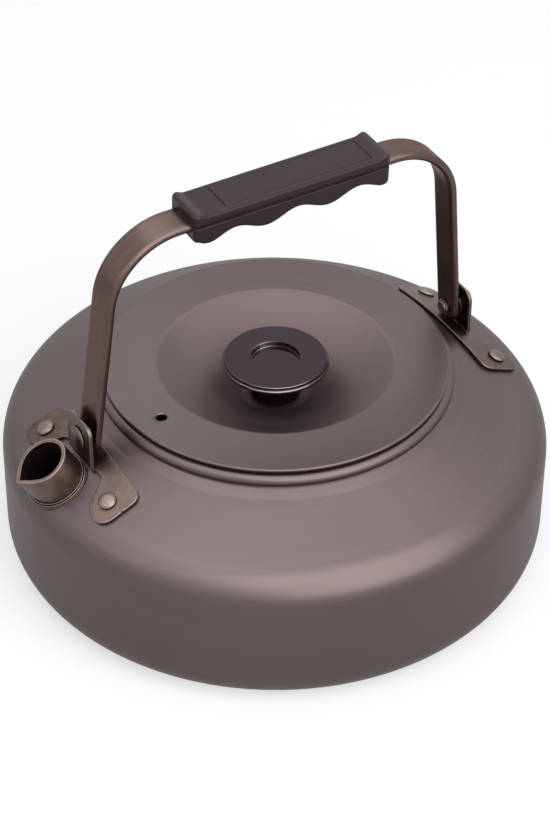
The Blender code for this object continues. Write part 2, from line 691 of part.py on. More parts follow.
def build_grip(parts, guides, hinge, look):
    """The grip's halves, parted just above the bar's middle. Heights run from the hinge axis."""
    upright = Matrix.Rotation(0.5 * math.pi, 4, "X")
    parting = BAIL_HEIGHT + GRIP_PARTING
    roof = BAIL_HEIGHT + 0.5 * STRIP_THICKNESS + GAP
    bottom = BAIL_HEIGHT - 0.5 * STRIP_THICKNESS - GAP
    half_channel = 0.5 * STRIP_WIDTH + GAP
    top = roof + GRIP_CAP
    low = bottom - GRIP_BODY
    end = GRIP_HALF_LENGTH
    width = 2 * (half_channel + GRIP_WALL)
    lip = end - GRIP_LIP_LENGTH
    half = [
        (end, parting + 0.5 * GAP, 0.0),
        (end, top + GRIP_LIP, GRIP_LIP_ROUND),
        (lip, top + GRIP_LIP, GRIP_LIP_ROUND),
        (lip - GRIP_LIP, top, GRIP_LIP_ROUND),
    ]
    outline = rounded(half + [(-x, h, radius) for x, h, radius in reversed(half)], 3)
    upper = plate("grip_upper", outline, width, upright, parts, GRIP_ROUND)
    level = end - GRIP_END_ROUND
    under = grip_underside(low, level)
    corner = arc(level, low + GRIP_END_ROUND, GRIP_END_ROUND, 0.0, -0.5 * math.pi, 4)
    tip = [(end, parting - 0.5 * GAP)]
    outline = tip + corner[:-1] + under + [(-x, h) for x, h in reversed(corner[:-1])]
    outline.append((-end, parting - 0.5 * GAP))
    lower = plate("grip_lower", outline, width, upright, parts, GRIP_ROUND)
    for piece in (upper, lower):
        piece.parent = hinge
        channel = box(
            f"{piece.name}_channel", (-2 * end, -half_channel, bottom), (2 * end, half_channel, roof),
            Matrix(), guides)
        channel.parent = hinge
        combine(piece, channel, "DIFFERENCE")
        pocket_side = 0.5 * width - GRIP_RIM
        for name, sign in (("front", -1), ("rear", 1)):
            reach = sorted((sign * (end - GRIP_POCKET), sign * 2 * end))
            pocket = box(
                f"{piece.name}_pocket_{name}", (reach[0], -pocket_side, low + 2 * GRIP_RIM),
                (reach[1], pocket_side, top - 0.5 * GRIP_RIM), Matrix(), guides)
            pocket.parent = hinge
            combine(piece, pocket, "DIFFERENCE")
    panel = box(
        "grip_panel", (PANEL_SHIFT - PANEL_HALF_LENGTH, -PANEL_HALF_WIDTH, top - PANEL_DEPTH),
        (PANEL_SHIFT + PANEL_HALF_LENGTH, PANEL_HALF_WIDTH, 2 * top), Matrix(), guides)
    panel.parent = hinge
    combine(upper, panel, "DIFFERENCE")
    finish(upper, look)
    finish(lower, look)


def main():
    """Empties the scene and builds the kettle."""
    for old in list(bpy.data.objects):
        bpy.data.objects.remove(old)
    parts = collection("camping_kettle")
    guides = collection("kettle_guides")
    anodised = material("anodised_aluminium", (0.17, 0.13, 0.12), 0.45, 1.0)
    steel = material("brushed_steel", (0.42, 0.36, 0.32), 0.40, 1.0)
    bronze = material("bail_steel", (0.20, 0.14, 0.10), 0.38, 1.0)
    gloss = material("knob_plastic", (0.035, 0.028, 0.033), 0.20, 0.0)
    matte = material("grip_plastic", (0.045, 0.037, 0.042), 0.45, 0.0)

    build_shell(parts, guides, anodised)
    build_lid(parts, guides, anodised)
    build_knob(parts, gloss, steel)
    build_spout(parts, guides, steel)
    for end, turn in (("front", Matrix.Rotation(math.pi, 4, "Z")), ("rear", Matrix())):
        build_bracket(end, turn, parts, guides, steel)
        build_pivot(end, turn, parts, steel)
    build_rivets(parts, steel)

    hinge = bpy.data.objects.new("bail_hinge", None)
    hinge.location = (0.0, 0.0, PIVOT_Z)
    hinge.rotation_euler = (BAIL_LEAN, 0.0, 0.0)
    parts.objects.link(hinge)
    build_bail(parts, guides, hinge, bronze)
    build_grip(parts, guides, hinge, matte)


main()
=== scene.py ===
# %% [markdown]
# # A camping kettle, dressed for its portrait
# The kettle arrives as twenty CAD solids that already have the right sizes and turn on the right hinges.
# What is missing is what the eye enjoys: smooth spun curves, fine turning lines, worn steel edges and
# moulded plastic. This lesson rebuilds each visible piece as a numpy surface in the place of its CAD solid,
# and then gives each one a finish made of shader nodes.

# %% Load the frame
import json
import math

import bpy
import numpy as np
from mathutils import Matrix


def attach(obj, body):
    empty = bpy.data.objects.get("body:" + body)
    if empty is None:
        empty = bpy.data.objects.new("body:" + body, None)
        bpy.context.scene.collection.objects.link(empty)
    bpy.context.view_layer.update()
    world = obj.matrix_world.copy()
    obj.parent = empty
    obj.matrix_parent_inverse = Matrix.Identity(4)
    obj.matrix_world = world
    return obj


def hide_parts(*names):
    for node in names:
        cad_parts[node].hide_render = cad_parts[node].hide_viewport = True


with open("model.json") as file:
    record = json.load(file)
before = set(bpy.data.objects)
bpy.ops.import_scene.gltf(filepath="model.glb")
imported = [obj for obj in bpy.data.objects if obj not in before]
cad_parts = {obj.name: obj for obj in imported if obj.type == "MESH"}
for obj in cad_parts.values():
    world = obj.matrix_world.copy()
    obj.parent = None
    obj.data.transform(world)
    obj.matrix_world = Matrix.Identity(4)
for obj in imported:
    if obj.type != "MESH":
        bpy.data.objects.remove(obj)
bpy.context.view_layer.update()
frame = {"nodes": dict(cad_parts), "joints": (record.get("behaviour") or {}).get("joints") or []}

MM = 1000
PIVOT = frame["joints"][0]["pos_m"][2] * MM

# %% [markdown]
# ## The camera
# The picture that we match looks down at about 38 degrees, from the front left corner. A camera is three
# directions at right angles: where it looks, its right and its top. We get the right by crossing the view
# with the vertical, the top by crossing again, and then roll both by half a degree. Lamps and rivets are
# placed by three directions too, so a small helper makes the 4 x 4 placement for all of them.

# %% Camera
LOOKS_ALONG = (0.406, 0.669, -0.6225)
STANDS_AT = (-0.35295, -0.58163, 0.58728)
ROLL = math.radians(0.47)
LENS = 114.84


def unit(vector):
    """The vector divided by its length."""
    return vector / np.linalg.norm(vector)


def placement(*columns):
    """A 4 x 4 placement whose columns are its X, its Y, its Z and its place."""
    matrix = np.eye(4)
    matrix[:3] = np.stack(columns, 1)
    return matrix


def added(name, data, matrix=None):
    """A new object in the scene, placed if a placement is given."""
    made = bpy.data.objects.new(name, data)
    bpy.context.scene.collection.objects.link(made)
    if matrix is not None:
        made.matrix_world = Matrix(matrix.tolist())
    return made


view = unit(np.array(LOOKS_ALONG))
level = unit(np.cross(view, (0, 0, 1)))
upright = np.cross(level, view)
right = math.cos(ROLL) * level + math.sin(ROLL) * upright
top = math.cos(ROLL) * upright - math.sin(ROLL) * level
camera = added("camera", bpy.data.cameras.new("camera"), placement(right, top, -view, STANDS_AT))
camera.data.lens = LENS
bpy.context.scene.camera = camera
print("camera looks down", round(math.degrees(math.asin(-view[2])), 1), "degrees, lens", LENS)

# %% [markdown]
# ## Lines, sweeps and skins
# Nearly everything on a kettle is a line carried along a path: a profile turned about an axis, or a bar's
# section pushed along a bend. So we need three helpers. The first draws a line in a plane with rounded
# corners, the second turns it, and the third stretches a skin of quads over the rows of points that come
# out. We work in millimetres, because that is how a maker thinks, and convert to metres at the end.

# %% A line with rounded corners
def arc(centre_x, centre_z, radius, start, end, count):
    """Circle: the centre plus the radius times the cosine and sine of evenly spaced angles, in degrees."""
    angle = np.radians(np.linspace(start, end, count + 1))
    return np.stack((centre_x + radius * np.cos(angle), centre_z + radius * np.sin(angle)), 1)


DEGREES_A_STEP = 14


def outline(*items, closed=False, hold=0.12, longest=3.0):
    """A line from corners (x, z), rounded corners (x, z, radius) and ready arcs.

    A rounded corner is the arc that touches both sides: it starts radius / tan(half the angle) before the
    corner. Each straight stretch gets a point near each end, so that a bend's shading stays in the bend."""
    first = [np.array(item[0] if isinstance(item, np.ndarray) else item[:2]) for item in items]
    last = [np.array(item[-1] if isinstance(item, np.ndarray) else item[:2]) for item in items]
    bends = []
    for index, item in enumerate(items):
        if isinstance(item, np.ndarray):
            bends.append(item)
        elif len(item) == 2:
            bends.append(np.array([item], float))
        else:
            corner = np.array(item[:2], float)
            before = unit(last[index - 1] - corner)
            after = unit(first[(index + 1) % len(items)] - corner)
            half = 0.5 * math.acos(float(np.clip(before @ after, -1, 1)))
            centre = corner + unit(before + after) * item[2] / math.sin(half)
            reach = item[2] / math.tan(half)
            start, end = corner + before * reach - centre, corner + after * reach - centre
            begin = math.degrees(math.atan2(start[1], start[0]))
            turn = (math.degrees(math.atan2(end[1], end[0])) - begin + 180) % 360 - 180
            count = max(3, round(abs(turn) / DEGREES_A_STEP))
            bends.append(arc(*centre, item[2], begin, begin + turn, count))
    line = [bends[0]]
    for before, after in zip(bends, bends[1:] + bends[:1] * closed):
        gap = after[0] - before[-1]
        length = np.linalg.norm(gap)
        if length > 4 * hold:
            inner = np.linspace(0, 1, math.ceil(length / longest) + 1)[1:-1]
            share = np.concatenate(([hold / length], inner, [1 - hold / length]))
            line.append(before[-1] + share[:, None] * gap)
        line.append(after)
    points = np.vstack(line[:-1] if closed else line)
    step = np.linalg.norm(np.diff(points, axis=0), axis=1)
    return points[np.concatenate(([True], step > 1e-4))]


square = outline((0, 0, 1), (9, 0, 1), (9, 9, 1), (0, 9, 1), closed=True)
print("a rounded square has", len(square), "points")


# %% A skin over rows of points
def turned(line, columns=256):
    """Turning: a point at (radius, height) goes to (radius cos t, radius sin t, height) for each angle t."""
    angle = np.arange(columns) * 2 * np.pi / columns
    radius, height = line[:, :1], line[:, 1:]
    return np.stack((radius * np.cos(angle), radius * np.sin(angle), height + 0 * angle), 2)


def skin(name, rows, closed=False, edge=None):
    """A mesh piece over rows x columns x 3 points in mm. Columns always close on themselves.

    With closed, the last row joins the first. Otherwise a fan of triangles to the row's mean closes each end.
    Where the volume, the sum of each triangle's corner . (corner x corner) / 6, is negative, all faces are
    flipped. The map "along" has the share of the way round, and the distance along the rows in metres. The
    attribute of wear and painted light holds the value of edge at each point."""
    count, columns = rows.shape[:2]
    here = np.arange(count * columns).reshape(count, columns)
    beside = np.roll(here, -1, 1)
    span = slice(None) if closed else slice(0, -1)
    up, up_beside = np.roll(here, -1, 0), np.roll(beside, -1, 0)
    quads = np.stack((here, beside, up_beside, up), 2)[span].reshape(-1, 4)
    points = rows.reshape(-1, 3) / MM
    fans = np.zeros((0, 3), int)
    if not closed:
        points = np.vstack((points, rows[0].mean(0) / MM, rows[-1].mean(0) / MM))
        low, high = np.full(columns, len(points) - 2), np.full(columns, len(points) - 1)
        fans = np.vstack((
            np.stack((low, beside[0], here[0]), 1), np.stack((high, here[-1], beside[-1]), 1)))
    threes = np.vstack((quads[:, (0, 1, 2)], quads[:, (0, 2, 3)], fans))
    a, b, c = (points[threes[:, k]] for k in range(3))
    if np.einsum("ij,ij->i", a, np.cross(b, c)).sum() < 0:
        quads, fans = quads[:, ::-1], fans[:, ::-1]
    mesh = bpy.data.meshes.new(name)
    corners = np.concatenate((quads.ravel(), fans.ravel())).astype(np.int32)
    mesh.vertices.add(len(points))
    mesh.vertices.foreach_set("co", points.astype(np.float32).ravel())
    mesh.loops.add(len(corners))
    mesh.loops.foreach_set("vertex_index", corners)
    starts = np.concatenate((np.arange(len(quads)) * 4, len(quads) * 4 + np.arange(len(fans)) * 3))
    mesh.polygons.add(len(starts))
    mesh.polygons.foreach_set("loop_start", starts.astype(np.int32))
    mesh.update(calc_edges=True)
    along = np.linalg.norm(np.diff(rows[:, 0], axis=0), axis=1)
    along = np.concatenate(([0.0], np.cumsum(along)))
    row_of = np.concatenate((np.repeat(np.arange(count), columns), [0, count - 1]))[: len(points)]
    across = np.concatenate((np.tile(np.arange(columns), count) / columns, [0.5, 0.5]))[: len(points)]
    u = across[corners]
    first_u = np.repeat(u[starts], np.diff(np.append(starts, len(corners))))
    u = np.where(first_u - u > 0.5, u + 1, np.where(u - first_u > 0.5, u - 1, u))
    uv = np.stack((u, along[row_of[corners]] / MM), 1)
    mesh.uv_layers.new(name="along").data.foreach_set("uv", uv.astype(np.float32).ravel())
    wear_and_painted_light = np.zeros(len(points), np.float32)
    if edge is not None:
        wear_and_painted_light[: count * columns] = np.broadcast_to(edge, (count, columns)).ravel()
    mesh.attributes.new("wear_and_painted_light", "FLOAT", "POINT").data.foreach_set("value", wear_and_painted_light)
    mesh.validate()
    mesh.shade_smooth()
    piece = added(name, mesh)
    size = [round(v, 1) for v in np.ptp(rows, axis=(0, 1))]
    print(f"{name}: {len(quads) * 2 + len(fans)} triangles, {size} mm")
    return piece


def moved(rows, matrix):
    """Rows of points after a 4 x 4 placement: the turn applied to each point, plus the shift, in mm."""
    matrix = np.array(matrix)
    return rows @ matrix[:3, :3].T + matrix[:3, 3]


def joined(name, pieces):
    """Several pieces as one object: their points and faces side by side in one mesh."""
    with bpy.context.temp_override(active_object=pieces[0], selected_editable_objects=pieces):
        bpy.ops.object.join()
    pieces[0].name = name
    return pieces[0]


def pierced(piece, cutter):
    """Takes the cutter's volume out of the piece with an exact Boolean, and keeps the result as the mesh."""
    hole = piece.modifiers.new("hole", "BOOLEAN")
    hole.operation, hole.object, hole.solver = "DIFFERENCE", cutter, "EXACT"
    bpy.context.view_layer.update()
    graph = bpy.context.evaluated_depsgraph_get()
    mesh = bpy.data.meshes.new_from_object(
        piece.evaluated_get(graph), preserve_all_data_layers=True, depsgraph=graph)
    piece.modifiers.clear()
    piece.data = mesh
    bpy.data.objects.remove(cutter)
    return piece


# %% [markdown]
# ## The shell
# A kettle like this is spun: a disc of aluminium is pressed over a turning former until it has a floor, a
# wall, a soft corner, a sloping shoulder and a narrow ring at the neck, and the mouth is rolled into a
# bead. That is exactly a turned line, so we draw the line once, from the floor up the inside, over the bead
# and down the outside, and turn it. The bead is an arc of a true circle that ends in a sharp inner corner,
# because its thin bright ring is what sells the neck.

# %% Shoulder shape shared by the shell and what sits on it
SLOPE = 25.0
SLOPE_SINE, SLOPE_RISE = math.sin(math.radians(SLOPE)), math.tan(math.radians(SLOPE))
CORNER_X, CORNER_Z, CORNER = 75.55, 37.8, 14.45
TANGENT_X = CORNER_X + CORNER * SLOPE_SINE
TANGENT_Z = CORNER_Z + CORNER * math.cos(math.radians(SLOPE))
CREASE_X = 60.7
CREASE_Z = TANGENT_Z + (TANGENT_X - CREASE_X) * SLOPE_RISE
BEAD_X, BEAD_Z = 55.9, CREASE_Z + 4.2


def shoulder(radius):
    """Height and slope of the outer skin: a straight line at 25 degrees, then a circle round the corner."""
    slope = np.arcsin(np.clip((radius - CORNER_X) / CORNER, SLOPE_SINE, 1))
    straight = TANGENT_Z + (TANGENT_X - radius) * SLOPE_RISE
    return np.where(radius <= TANGENT_X, straight, CORNER_Z + CORNER * np.cos(slope)), slope


def on_shoulder(x, y, lift):
    """A point lifted off the shoulder: the skin's point over (x, y) plus lift times the skin's normal."""
    radius = np.hypot(x, y)
    height, slope = shoulder(radius)
    out = np.sin(slope) * lift / radius
    return np.stack((x + out * x, y + out * y, height + np.cos(slope) * lift), -1)


print("crease height, mm:", round(CREASE_Z, 2), "- bead height, mm:", round(BEAD_Z, 2))

# %% Shell
WALL, HUB = 1.5, 1.0
BASE_X, BASE_CORNER = 78.5, 11.5
shell_line = outline(
    (HUB, WALL), arc(BASE_X, BASE_CORNER, BASE_CORNER - WALL, -90, 0, 12),
    arc(CORNER_X, CORNER_Z, CORNER - WALL, 0, 90 - SLOPE, 12),
    (CREASE_X - 0.6, CREASE_Z - 1.86, 0.8), (55.2, BEAD_Z - 4.2, 0.8),
    arc(BEAD_X + 0.25, BEAD_Z - 0.78, 2.3, 200, -41.5, 28), (57.81, BEAD_Z - 2.37),
    (61.4, CREASE_Z - 0.7 * SLOPE_RISE, 0.5),
    arc(CORNER_X, CORNER_Z, CORNER, 90 - SLOPE, 0, 22),
    arc(BASE_X, BASE_CORNER, BASE_CORNER, 0, -90, 20), (HUB, 0.0))
shell = skin("shell", turned(shell_line))
LEAN = math.radians(29.0)
SPOUT_X, SPOUT_BORE = 80.53, 9.4
SPOUT_AT = (-SPOUT_X, 0.0, float(shoulder(SPOUT_X)[0]))
spout_frame = placement(
    (math.cos(LEAN), 0, math.sin(LEAN)), (0, 1, 0), (-math.sin(LEAN), 0, math.cos(LEAN)), SPOUT_AT)
bore_line = np.array([(SPOUT_BORE, -18.0), (SPOUT_BORE, 18.0)])
bore = skin("bore", moved(turned(bore_line, 64), spout_frame))
pierced(shell, bore)
print("shell after its spout hole:", len(shell.data.polygons), "faces")

# %% [markdown]
# ## The lid
# The lid is pressed from one sheet: a flat rim, a wide dish that takes the knob below the rim's level, and
# under the rim a skirt that drops into the mouth. Two arcs of 3 mm join the flat parts to the dish's wall,
# and the sheet's own edge curls down close to the bead. Turning gives all of it, and one drilled hole lets
# out steam.

# %% Lid
SEAT = BEAD_Z + 2.3
SHEET, DISH_DEPTH, DISH_ROUND = 1.2, 13.4, 3.0
DISH_FLOOR_X, DISH_RIM_X = 11.0, 38.75
CURL, SKIRT_OUT, SKIRT_IN, SKIRT = SEAT - 0.68, 53.4, 52.2, 6.2
SCREW_HOLE = 2.3
RIM_TOP = SEAT + SHEET
FLOOR = RIM_TOP - DISH_DEPTH
dish_slope = math.degrees(math.atan2(DISH_DEPTH, DISH_RIM_X - DISH_FLOOR_X))
reach = DISH_ROUND * math.tan(math.radians(dish_slope) / 2)
floor_bend = (DISH_FLOOR_X - reach, FLOOR + DISH_ROUND)
rim_bend = (DISH_RIM_X + reach, RIM_TOP - DISH_ROUND)
lid_line = outline(
    (SCREW_HOLE, FLOOR, 0.3), arc(*floor_bend, DISH_ROUND, -90, dish_slope - 90, 10),
    arc(*rim_bend, DISH_ROUND, dish_slope + 90, 90, 10),
    arc(56.1, RIM_TOP - SHEET / 2, SHEET / 2, 90, -60, 12),
    (56.0, CURL, 0.25), (54.8, CURL, 0.25), (54.5, SEAT, 0.2), (SKIRT_OUT, SEAT, 0.25),
    (SKIRT_OUT, SEAT - SKIRT, 0.4), (SKIRT_IN, SEAT - SKIRT, 0.4), (SKIRT_IN, SEAT, 0.4),
    arc(*rim_bend, DISH_ROUND - SHEET, 90, dish_slope + 90, 10),
    arc(*floor_bend, DISH_ROUND + SHEET, dish_slope - 90, -90, 10),
    (SCREW_HOLE, FLOOR - SHEET, 0.3), closed=True)
lid = skin("lid_sheet", turned(lid_line), closed=True)
STEAM_TURN, STEAM_OUT, STEAM_HOLE = math.radians(189.5), 47.3, 1.9
steam = turned(np.array([(STEAM_HOLE, SEAT - 8), (STEAM_HOLE, SEAT + 8)]), 48)
steam += (STEAM_OUT * math.cos(STEAM_TURN), STEAM_OUT * math.sin(STEAM_TURN), 0)
pierced(lid, skin("steam_drill", steam))
print("rim top, mm:", round(RIM_TOP, 2), "- dish floor, mm:", round(FLOOR, 2))

# %% [markdown]
# ## The knob
# The knob is a small turned form in black plastic: a thin disc with a stepped round edge and a dimple, on a
# waisted stem. Its edge is where all the light gathers, so it is drawn finely, and the dimple's rim gets a
# rounding of its own. The attribute of wear and painted light holds only painted light here: painted
# highlights above 0 (two lines on the front of the edge and a glint on the dimple's rim) and painted shade
# below 0 (the stem, under the disc).

# %% Knob
def bell(value, middle, width):
    """A bell: e to the power of minus the square of (value less its middle, over the width)."""
    return np.exp(-((value - middle) / width) ** 2)


FOOT = FLOOR + 0.3
KNOB_COLUMNS = 160
KNOB_TOP, DIMPLE_FLOOR, SCREW_END = FOOT + 14.1, FOOT + 12.3, FOOT + 8.6
UPPER_LINE, LOWER_LINE, EDGE_FROM, STEM_BELOW = 13.92, 12.85, 16, 11.0
FRONT, GLINT_AT, DIMPLE_RIM = 239, 95, 8.0
knob_line = outline(
    (0.6, DIMPLE_FLOOR), (7.95, DIMPLE_FLOOR, 0.25), (8.1, KNOB_TOP, 0.22),
    (16.75, KNOB_TOP, 0.45), (16.85, FOOT + 13.1, 0.12), arc(16.75, FOOT + 12.3, 0.75, 80, -90, 16),
    (15.6, FOOT + 11.5, 0.5), (10.9, FOOT + 10.8, 0.8), (8.4, FOOT + 7.4, 2.6),
    (7.7, FOOT + 3.4, 2.6), (8.5, FOOT, 0.4),
    (SCREW_HOLE, FOOT, 0.2), (SCREW_HOLE, SCREW_END), (0.4, SCREW_END), longest=1.5)
from_axis, up = knob_line[:, :1], knob_line[:, 1:] - FOOT
round_turn = np.degrees(np.arange(KNOB_COLUMNS) * 2 * np.pi / KNOB_COLUMNS)[None, :]
# painted highlights: two bright lines round the rim's edge, strongest at the front
painted_knob_light = (bell(up, UPPER_LINE, 0.07) + bell(up, LOWER_LINE, 0.12)) * (from_axis > EDGE_FROM)
painted_knob_light = painted_knob_light * bell(round_turn, FRONT, 50)
# a painted glint on one side of the dimple's rim
painted_glint = bell(round_turn, GLINT_AT, 25) * bell(from_axis, DIMPLE_RIM, 0.3)
# painted shade on the stem, under the disc, below 0
painted_knob_light += painted_glint - 0.8 * (up < STEM_BELOW)
knob = skin("knob_turned", turned(knob_line, KNOB_COLUMNS), edge=painted_knob_light)

# %% [markdown]
# ## The spout
# The spout is a short steel tube whose mouth was pinched in a press, so that the front draws out to a beak.
# We start from a plain tube in its own frame and move each point: the higher it is, the more the tube
# narrows across, most of all at the front, and the further the front leans out. Round the foot lies a
# ring of two beads, one outside and below the other, and its lowest rows are dropped onto the shoulder.

# %% Spout tube
SPOUT_LENGTH = 11.0


def pinched(rows):
    """Pinch: with rise = (height / length) squared and front = how far round to -X a point is, from 0 to 1,
    x loses rise times (0.25 front to the fourth + 0.68 e to the power of 30 (front - 1)), which draws out a
    beak, and y shrinks by rise times (0.12 + 0.36 front squared)."""
    x, y, z = np.moveaxis(rows, 2, 0)
    rise = np.clip(z / SPOUT_LENGTH, 0, None) ** 2
    front = np.clip(-x / np.hypot(x, y), 0, None)
    drawn = 0.25 * front ** 4 + 0.68 * np.exp(30 * (front - 1))
    return np.stack((x - rise * drawn, y * (1 - rise * (0.12 + 0.36 * front ** 2)), z), 2)


TUBE_IN, TUBE_OUT, SPOUT_COLUMNS = 7.6, 9.1, 128
tube_line = outline(
    (TUBE_IN, SPOUT_LENGTH, 0.3), (TUBE_OUT, SPOUT_LENGTH, 0.25), (TUBE_OUT, -5.0, 0.3),
    (10.2, -5.2, 0.4), (10.2, -6.0, 0.3), (TUBE_IN, -6.3, 0.4), closed=True, longest=0.9)
lip = np.clip((tube_line[:, 1] - 10.6) / 0.3, 0, 1) * np.where(tube_line[:, 0] > 8.6, 1.0, 0.35)
tube = moved(pinched(turned(tube_line, SPOUT_COLUMNS)), spout_frame)
spout = skin("spout_pinched", tube, closed=True, edge=lip[:, None])


# %% Ring of two beads at the spout's foot
CLEARANCE = 0.3


def dropped(rows):
    """Slides points along the spout's axis to 0.3 mm over the shoulder: the height that is missing, divided
    by the axis's own rise, is added five times over, which closes in on the curve."""
    for _ in range(5):
        world = moved(rows, spout_frame)
        height, slope = shoulder(np.hypot(world[..., 0], world[..., 1]))
        missing = height + CLEARANCE / np.cos(slope) - world[..., 2]
        rows = rows + (missing / math.cos(LEAN))[..., None] * (0, 0, 1)
    return rows


BEAD_AT, BEAD_PITCH, BEAD_ROUND = 9.42, 0.68, 0.28
FOOT_FROM, FOOT_DEPTH, RING_STOP = -0.4, 0.6, -72.47
ring_line = outline(
    arc(BEAD_AT, 0.5, BEAD_ROUND, 180, 0, 8), (9.76, 0.12), arc(10.1, 0.2, BEAD_ROUND, 160, 20, 8),
    (10.44, 0.0), (10.6, -0.02, 0.08), (10.6, -1.0), (9.14, -1.0), closed=True, hold=0.04, longest=0.5)
ring = turned(ring_line, SPOUT_COLUMNS)
share = np.clip((FOOT_FROM - ring_line[:, 1]) / FOOT_DEPTH, 0, 1)[:, None, None]
ring = moved(ring * (1 - share) + dropped(ring) * share, spout_frame)
ring[..., 0] = np.minimum(ring[..., 0], RING_STOP)
# painted highlights on the two beads' crowns and painted shade in the groove between them
crown_highlight_groove_shade = np.cos(2 * np.pi * (ring_line[:, 0] - BEAD_AT) / BEAD_PITCH) * (ring_line[:, 1] > -0.1)
spout_ring = skin("spout_ring", ring, closed=True, edge=crown_highlight_groove_shade[:, None])

# %% [markdown]
# ## The brackets
# Each bracket is cut and folded from one millimetre of steel: two wings that lie on the shoulder and an ear
# that stands up to carry the hinge. A wing plate is a sheet between an inner and an outer edge line, and the
# outer one turns in beside the ear, a little nearer to it on the rear bracket. We rule straight lines from
# one edge to the other, round both edges, and lift every point off the shoulder by its own normal, so that
# the plate hugs the kettle. The ear is a bar bent upwards, and we will reuse that bar for the bail.

# %% Wing plate
def resampled(line, count):
    """The same line with count points, spaced evenly by length."""
    step = np.concatenate(([0], np.cumsum(np.linalg.norm(np.diff(line, axis=0), axis=1))))
    at = np.linspace(0, 1, count) * step[-1]
    return np.stack([np.interp(at, step, line[:, k]) for k in range(2)], 1)


def sideways(line):
    """The unit normal of a line: its direction, turned a quarter to the right."""
    ahead = np.gradient(line, axis=0)
    ahead /= np.linalg.norm(ahead, axis=1)[:, None]
    return np.stack((ahead[:, 1], -ahead[:, 0]), 1)


PLATE_LOW, PLATE_TOP, PLATE_ROUND = CLEARANCE, 1.3, 0.3
WING_END, WING_POINTS = 27.2, 110


def wing_plate(name, sign):
    """A sheet from 0.3 to 1.3 mm over the shoulder, ruled between two edge lines, with 0.3 mm round edges.
    It is worn at its upper edges, and has painted shade on its lower edges, next to the shoulder, and towards
    the ear, where it is darker by 0.8 e to the power of minus (y / 8) squared."""
    notch = 12.1 if sign < 0 else 10.6
    outer = outline(
        (70.37, 0), (70.37, notch, 2.2), (79.17, 18.6, 5.0), (79.17, WING_END, 4.3), (71.6, WING_END),
        longest=0.8)
    inner = outline((64.47, 0), (64.47, WING_END, 3.0), (71.2, WING_END), longest=0.8)
    outer, inner = resampled(outer, WING_POINTS), resampled(inner, WING_POINTS)
    mirror = np.array((1, -1))
    outer = np.vstack(((outer * mirror)[:0:-1], outer))
    inner = np.vstack(((inner * mirror)[:0:-1], inner))
    angle = np.radians(np.linspace(0, 90, 6))
    columns = []
    for edge_line, way, order in ((outer, sideways(outer), 1), (inner, -sideways(inner), -1)):
        rim = []
        for lift, swing in ((PLATE_TOP - PLATE_ROUND, 1), (PLATE_LOW + PLATE_ROUND, -1)):
            for a in angle[::swing]:
                spot = edge_line + way * PLATE_ROUND * (math.sin(a) - 1)
                # the upper rounding is worn bright; the lower rounding, next to the shoulder, gets painted
                # shade
                rim.append((spot, lift + swing * PLATE_ROUND * math.cos(a), swing * math.sin(a)))
        columns.append(rim[::order])
    top_out, top_in = columns[0][0][0], columns[1][-1][0]
    low_out, low_in = columns[0][-1][0], columns[1][0][0]
    flat = np.linspace(0, 1, 12)[1:-1]
    under = [(low_out + s * (low_in - low_out), PLATE_LOW, 0.0) for s in flat]
    over = [(top_in + s * (top_out - top_in), PLATE_TOP, 0.0) for s in flat]
    ordered = columns[0] + under + columns[1] + over
    spots = np.stack([spot for spot, _, _ in ordered], 1)
    lifts = np.array([lift for _, lift, _ in ordered])
    wear_and_painted_light = np.array([wear for _, _, wear in ordered])
    rows = on_shoulder(sign * spots[..., 0], sign * spots[..., 1], lifts[None, :] + 0 * spots[..., 0])
    # painted shade towards the ear, under the bail's end
    return skin(name, rows, edge=wear_and_painted_light[None, :] - 0.8 * bell(spots[..., 1], 0, 8))


def bent_bar(name, centre, lean, half_width, half_thick, roundness, shape=None, inside=0.0):
    """A flat bar bent in the plane of X and Z: at each station its section, a rounded rectangle with points
    (across, out), is put at the centre line's point plus out times the direction (cos lean, sin lean). Its
    rounded edges are worn, and the value of inside is added on the inner face, where out is below 0: a value
    below 0 is painted shade."""
    corner = np.minimum(roundness, 0.96 * np.minimum(half_width, half_thick))[:, None]
    wide, thick = half_width[:, None] - corner, half_thick[:, None] - corner
    across, out, wear_and_painted_light = [], [], []
    quarter = np.radians(np.linspace(0, 90, 7))
    for turn, (side, face) in enumerate(((1, 1), (-1, 1), (-1, -1), (1, -1))):
        angle = quarter + turn * np.pi / 2
        across.append(side * wide + corner * np.cos(angle))
        out.append(face * thick + corner * np.sin(angle))
        wear_and_painted_light.append(np.abs(np.sin(2 * quarter)) ** 0.5)
        share = np.linspace(1, -1, 9)[1:-1]
        if turn % 2 == 0:
            across.append(side * wide * share)
            out.append(face * (thick + corner) + 0 * share)
        else:
            share = share[2:-2]
            across.append(side * (wide + corner) + 0 * share)
            out.append(face * thick * share)
        wear_and_painted_light.append(0 * share)
    across, out, wear_and_painted_light = np.hstack(across), np.hstack(out), np.hstack(wear_and_painted_light)
    cosine, sine = np.cos(lean)[:, None], np.sin(lean)[:, None]
    rows = np.stack((centre[:, :1] + out * cosine, across, centre[:, 1:] + out * sine), 2)
    # the inner face gets the value of inside: painted shade when it is below 0
    wear_and_painted_light = wear_and_painted_light[None, :] + inside * (out < -0.9 * half_thick[:, None])
    return skin(name, rows if shape is None else shape(rows), edge=wear_and_painted_light)


# %% Ears, and the two brackets put together
EAR_X, EAR_ABOVE, EAR_ROUND, EAR_FLAT = 71.57, 7.6, 3.5, 4.1
EAR_HALF_THICK, EAR_SECTION = 0.6, 0.28


def plate_z(x):
    """Height of the middle of the plate's sheet at the distance x from the axis: 0.8 mm over the shoulder."""
    return float(shoulder(x)[0]) + 0.8 / math.cos(math.radians(SLOPE))


